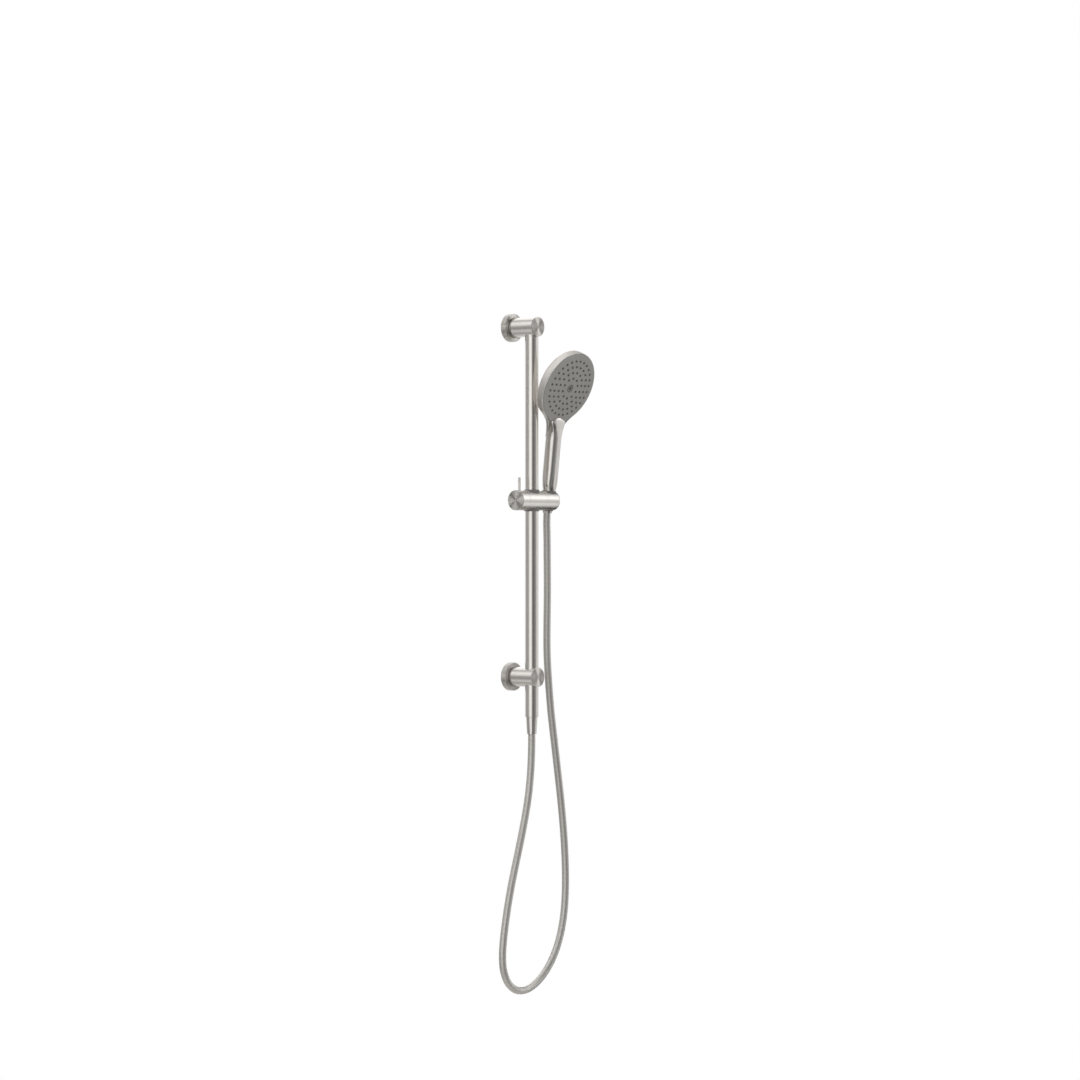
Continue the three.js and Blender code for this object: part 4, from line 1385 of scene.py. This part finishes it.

# %% [markdown]
# ## The hose in place of the model's hose
# Each stretch hides the engineering model's pieces of hose that it replaces, and its place is
# baked into its mesh. The table below gives each stretch's body above and body below, and the
# heights where a blend across its joint would start and end. On the real shower the bow under
# the two legs moves half as far as the slider, as a hanging loop does, so a leg's row spans
# twice the leg's own height.


def declare_hose(run, nodes, reverse=False):
    piece = hose_pieces[run]
    line = run_line(run)
    if reverse:
        line = line[::-1]
    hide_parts(*nodes)
    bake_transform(piece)


# %% Short stretches and the two legs
RIGHT_LEG_TOP, RIGHT_LEG_FOOT = -0.669, -1.0403
LEFT_LEG_TOP, LEFT_LEG_FOOT = -0.768, -1.1752
RIGHT_LEG_END = 2 * RIGHT_LEG_FOOT - RIGHT_LEG_TOP
LEFT_LEG_END = 2 * LEFT_LEG_FOOT - LEFT_LEG_TOP

# The heights in metres where each blend would start and end.
HOSE_BLENDS = [
    ("hose_top", "hose_top_stretch", "handset", "holder", -0.369, -0.427),
    ("hose_tilt", "hose_tilt_stretch", "holder", "slider", -0.429, -0.517),
    ("hose_swivel", "hose_swivel_stretch", "slider", "carriage", -0.519, -0.667),
    ("hose_right", "hose_right_leg", "carriage", "wall_set", RIGHT_LEG_TOP, RIGHT_LEG_END),
    ("hose_left", "hose_left_leg", "wall_set", "carriage", LEFT_LEG_TOP, LEFT_LEG_END),
]
for run, node, upper, lower, top, foot in HOSE_BLENDS:
    from_nut = run == "hose_left"  # its line is turned round, to start at the lower nut
    declare_hose(run, [node], from_nut)

# %% [markdown]
# On the real shower the bow moves half as far as the slider everywhere along it. Its stretch
# hides the model's pieces of both legs.

# %% Bow at the foot of the loop
declare_hose(
    "hose_bow",
    ["hose_right_leg", "hose_left_leg"],
)

# %% [markdown]
# ## Inner pieces
# Washers, valves, the clamp and the inner metal of the hose ends keep the engineering
# model's own shape. They only need the finish of the real thing.

# %% Finishes of the inner pieces
INNER = {
    "inlet_seal": black_rubber,
    "outlet_washer": black_rubber,
    "handset_washer": black_rubber,
    "brake_pad": black_rubber,
    "friction_ring": black_rubber,
    "check_valve": white_acetal,
    "spray_chamber": white_acetal,
    "lower_hose_flange": machined_brass,
    "upper_hose_flange": machined_brass,
    "handset_inlet": machined_brass,
    "clamp_spindle": stainless,
    "holder_bolt": stainless,
}
for node, material in INNER.items():
    dress(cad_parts[node], material)
print("inner pieces:", len(INNER))

# %% [markdown]
# ## Studio
# The photograph has a plain white background, so the camera sees the world as white. Polished
# bar looks round only because it reflects a room, so the metal sees one: light walls with dark
# screens between them, which draw long bands down the rail. It is drawn once round the
# horizon, and again by height, because the ends of bars and the round head see floor and
# ceiling. The world's directions are turned so that 0 degrees is the camera's side. The
# lamps and a plain grey light only the matt pieces.

# %% Directions in the room
world = bpy.data.worlds.new("studio")
bpy.context.scene.world = world
world.use_nodes = True
tree = world.node_tree
tree.nodes.clear()

direction = add_node(tree, "ShaderNodeTexCoord")
turn = add_node(
    tree,
    "ShaderNodeVectorRotate",
    {"rotation_type": "Z_AXIS"},
    {"Vector": direction.outputs["Generated"], "Angle": -VIEW_AZIMUTH},
)
parts = add_node(tree, "ShaderNodeSeparateXYZ", inputs={"Vector": turn.outputs[0]})
toward = add_node(
    tree, "ShaderNodeMath", {"operation": "MULTIPLY"}, {0: parts.outputs["Y"], 1: -1.0}
)
azimuth = add_node(
    tree,
    "ShaderNodeMath",
    {"operation": "ARCTAN2"},
    {0: parts.outputs["X"], 1: toward.outputs[0]},
)
round_share = add_node(
    tree,
    "ShaderNodeMapRange",
    inputs={"Value": azimuth.outputs[0], "From Min": -math.pi, "From Max": math.pi},
)
height_share = add_node(
    tree,
    "ShaderNodeMapRange",
    inputs={"Value": parts.outputs["Z"], "From Min": -1, "From Max": 1},
)


def grey(value):
    return (value, value, value, 1)


def round_ramp(*stops):
    """Greys at degrees round the horizon, from the camera's side to the right."""
    places = [((degrees + 180) / 360, grey(value)) for degrees, value in stops]
    return ramp(tree, round_share.outputs[0], places).outputs["Color"]


def height_ramp(*stops):
    """Greys at heights from -1, straight down, to 1, straight up."""
    places = [((height + 1) / 2, grey(value)) for height, value in stops]
    return ramp(tree, height_share.outputs[0], places).outputs["Color"]


def mixed(share, a, b, blend_type="MIX"):
    """Mixes two colours by a share, or multiplies them."""
    settings = {"data_type": "RGBA", "blend_type": blend_type}
    mix = add_node(tree, "ShaderNodeMix", settings, {"Factor": share, "A": a, "B": b})
    return mix.outputs["Result"]


# %% Screens round the horizon, and light by height
screens = round_ramp(
    (-180, 0.9),
    (-128, 0.7),
    (-106, 0.42),
    (-60, 0.42),
    (-42, 1.05),
    (-6, 1.05),
    (10, 0.22),
    (24, 0.13),
    (58, 0.18),
    (86, 0.42),
    (100, 0.65),
    (128, 0.85),
    (144, 0.35),
    (172, 0.35),
    (180, 0.9),
)
right_heights = height_ramp(
    (-1, 0.9),
    (-0.62, 0.8),
    (-0.34, 1.35),
    (-0.12, 1.1),
    (0.12, 1.15),
    (0.24, 1.7),
    (0.5, 2.0),
    (0.62, 1.6),
    (1, 1.5),
)
left_heights = height_ramp(
    (-1, 1.6),
    (-0.5, 2.2),
    (-0.3, 1.4),
    (-0.12, 0.95),
    (0.12, 1.2),
    (0.24, 3.0),
    (0.6, 3.6),
    (0.8, 2.6),
    (1, 2.0),
)
far_right_heights = height_ramp(
    (-1, 1.4),
    (-0.62, 1.7),
    (-0.34, 2.1),
    (-0.16, 1.25),
    (0.08, 1.45),
    (0.24, 3.6),
    (0.5, 2.8),
    (0.62, 2.2),
    (1, 2.0),
)
left_share = round_ramp((-150, 0), (-115, 1), (-55, 1), (-30, 0))
far_right_share = round_ramp((32, 0), (50, 1), (128, 1), (145, 0))
sides = mixed(left_share, right_heights, left_heights)
up_light = mixed(far_right_share, sides, far_right_heights)
print("nodes in the room so far:", len(tree.nodes))

# %% [markdown]
# The flat caps are faced in circles, so each spreads what it mirrors into fans. Four dark
# flags stand crosswise round the direction that the brackets' caps mirror, and four more
# round the opposite one, for the knob's cap. They cut the fans into the light and dark
# quarters that such caps show in a studio.

# %% Flags for the caps
away = add_node(
    tree,
    "ShaderNodeVectorRotate",
    {"rotation_type": "Z_AXIS"},
    {"Vector": direction.outputs["Generated"], "Angle": VIEW_AZIMUTH},
)
faced = add_node(tree, "ShaderNodeSeparateXYZ", inputs={"Vector": away.outputs[0]})
corner_angle = add_node(
    tree,
    "ShaderNodeMath",
    {"operation": "ARCTAN2"},
    {0: faced.outputs["Z"], 1: faced.outputs["X"]},
)
four_turns = add_node(
    tree, "ShaderNodeMath", {"operation": "MULTIPLY"}, {0: corner_angle.outputs[0], 1: 4.0}
)
corner = add_node(
    tree, "ShaderNodeMath", {"operation": "COSINE"}, {0: four_turns.outputs[0]}
)
corner_share = add_node(
    tree,
    "ShaderNodeMapRange",
    {"interpolation_type": "SMOOTHSTEP"},
    {"Value": corner.outputs[0], "From Min": 0.05, "From Max": -0.5},
)
facing = add_node(
    tree, "ShaderNodeMath", {"operation": "ABSOLUTE"}, {0: faced.outputs["Y"]}
)
near_share = ramp(
    tree,
    facing.outputs[0],
    [(0.3, grey(0)), (0.5, grey(1)), (0.955, grey(1)), (0.985, grey(0))],
)
flagged = add_node(
    tree,
    "ShaderNodeMath",
    {"operation": "MULTIPLY"},
    {0: corner_share.outputs[0], 1: near_share.outputs["Color"]},
)
flag_light = add_node(
    tree,
    "ShaderNodeMapRange",
    inputs={"Value": flagged.outputs[0], "To Min": 1.0, "To Max": 0.03},
)

# %% What each kind of ray sees
MATT_LIGHT = 0.62
screened = mixed(1.0, screens, up_light, "MULTIPLY")
room = mixed(1.0, screened, flag_light.outputs[0], "MULTIPLY")
plain_light, room_light, white_light = (
    add_node(tree, "ShaderNodeBackground", inputs={"Color": colour, "Strength": 1})
    for colour in (grey(MATT_LIGHT), room, grey(1))
)
paths = add_node(tree, "ShaderNodeLightPath")
seen_plain = add_node(
    tree,
    "ShaderNodeMath",
    {"operation": "MAXIMUM"},
    {0: paths.outputs["Is Camera Ray"], 1: paths.outputs["Is Transmission Ray"]},
)
matt_or_metal = add_node(
    tree,
    "ShaderNodeMixShader",
    inputs={
        0: paths.outputs["Is Glossy Ray"],
        1: plain_light.outputs[0],
        2: room_light.outputs[0],
    },
)
every_ray = add_node(
    tree,
    "ShaderNodeMixShader",
    inputs={0: seen_plain.outputs[0], 1: matt_or_metal.outputs[0], 2: white_light.outputs[0]},
)
world_output = tree.nodes.new("ShaderNodeOutputWorld")
tree.links.new(every_ray.outputs[0], world_output.inputs["Surface"])
print("nodes in the world:", len(tree.nodes))

# %% [markdown]
# Two large soft lamps shade the matt pieces. Rays from the camera and from metal miss them,
# so they draw no shapes of their own. A pale floor lies where a shower's floor would be.


# %% Lamps
def soft_lamp(name, azimuth_degrees, elevation_degrees, distance, size, power):
    """Makes a lamp aimed at the object. Distance and size are in metres, power in watts."""
    lamp_data = bpy.data.lights.new(name, "AREA")
    lamp_data.shape = "RECTANGLE"
    lamp_data.size, lamp_data.size_y = size
    lamp_data.energy = power
    lamp = bpy.data.objects.new(name, lamp_data)
    a, e = math.radians(azimuth_degrees), math.radians(elevation_degrees)
    back = Vector((math.sin(a) * math.cos(e), -math.cos(a) * math.cos(e), math.sin(e)))
    lamp.location = aim + back * distance
    lamp.rotation_euler = (-back).to_track_quat("-Z", "Y").to_euler()
    bpy.context.scene.collection.objects.link(lamp)
    lamp.visible_camera = False
    lamp.visible_glossy = False
    return lamp


soft_lamp("key_lamp", -70, 35, 2.6, (1.4, 1.8), 26)
soft_lamp("fill_lamp", 30, 20, 3.0, (1.6, 2.0), 14)

print("lamps:", [lamp.name for lamp in bpy.data.lights])

# %% Floor
FLOOR_HEIGHT = -1.9  # metres
FLOOR_RADIUS = 1.1
bm = bmesh.new()
bmesh.ops.create_circle(bm, cap_ends=True, segments=128, radius=FLOOR_RADIUS)
floor = finished("floor", bm, Matrix.Translation((0, 0, FLOOR_HEIGHT)))
floor_paint = grained("pale_matt_paint", "EEEDEA", "EAE9E6", 0.8, 2.0)
dress(floor, floor_paint)

bpy.context.scene.view_settings.view_transform = "Standard"
print("floor at", FLOOR_HEIGHT)
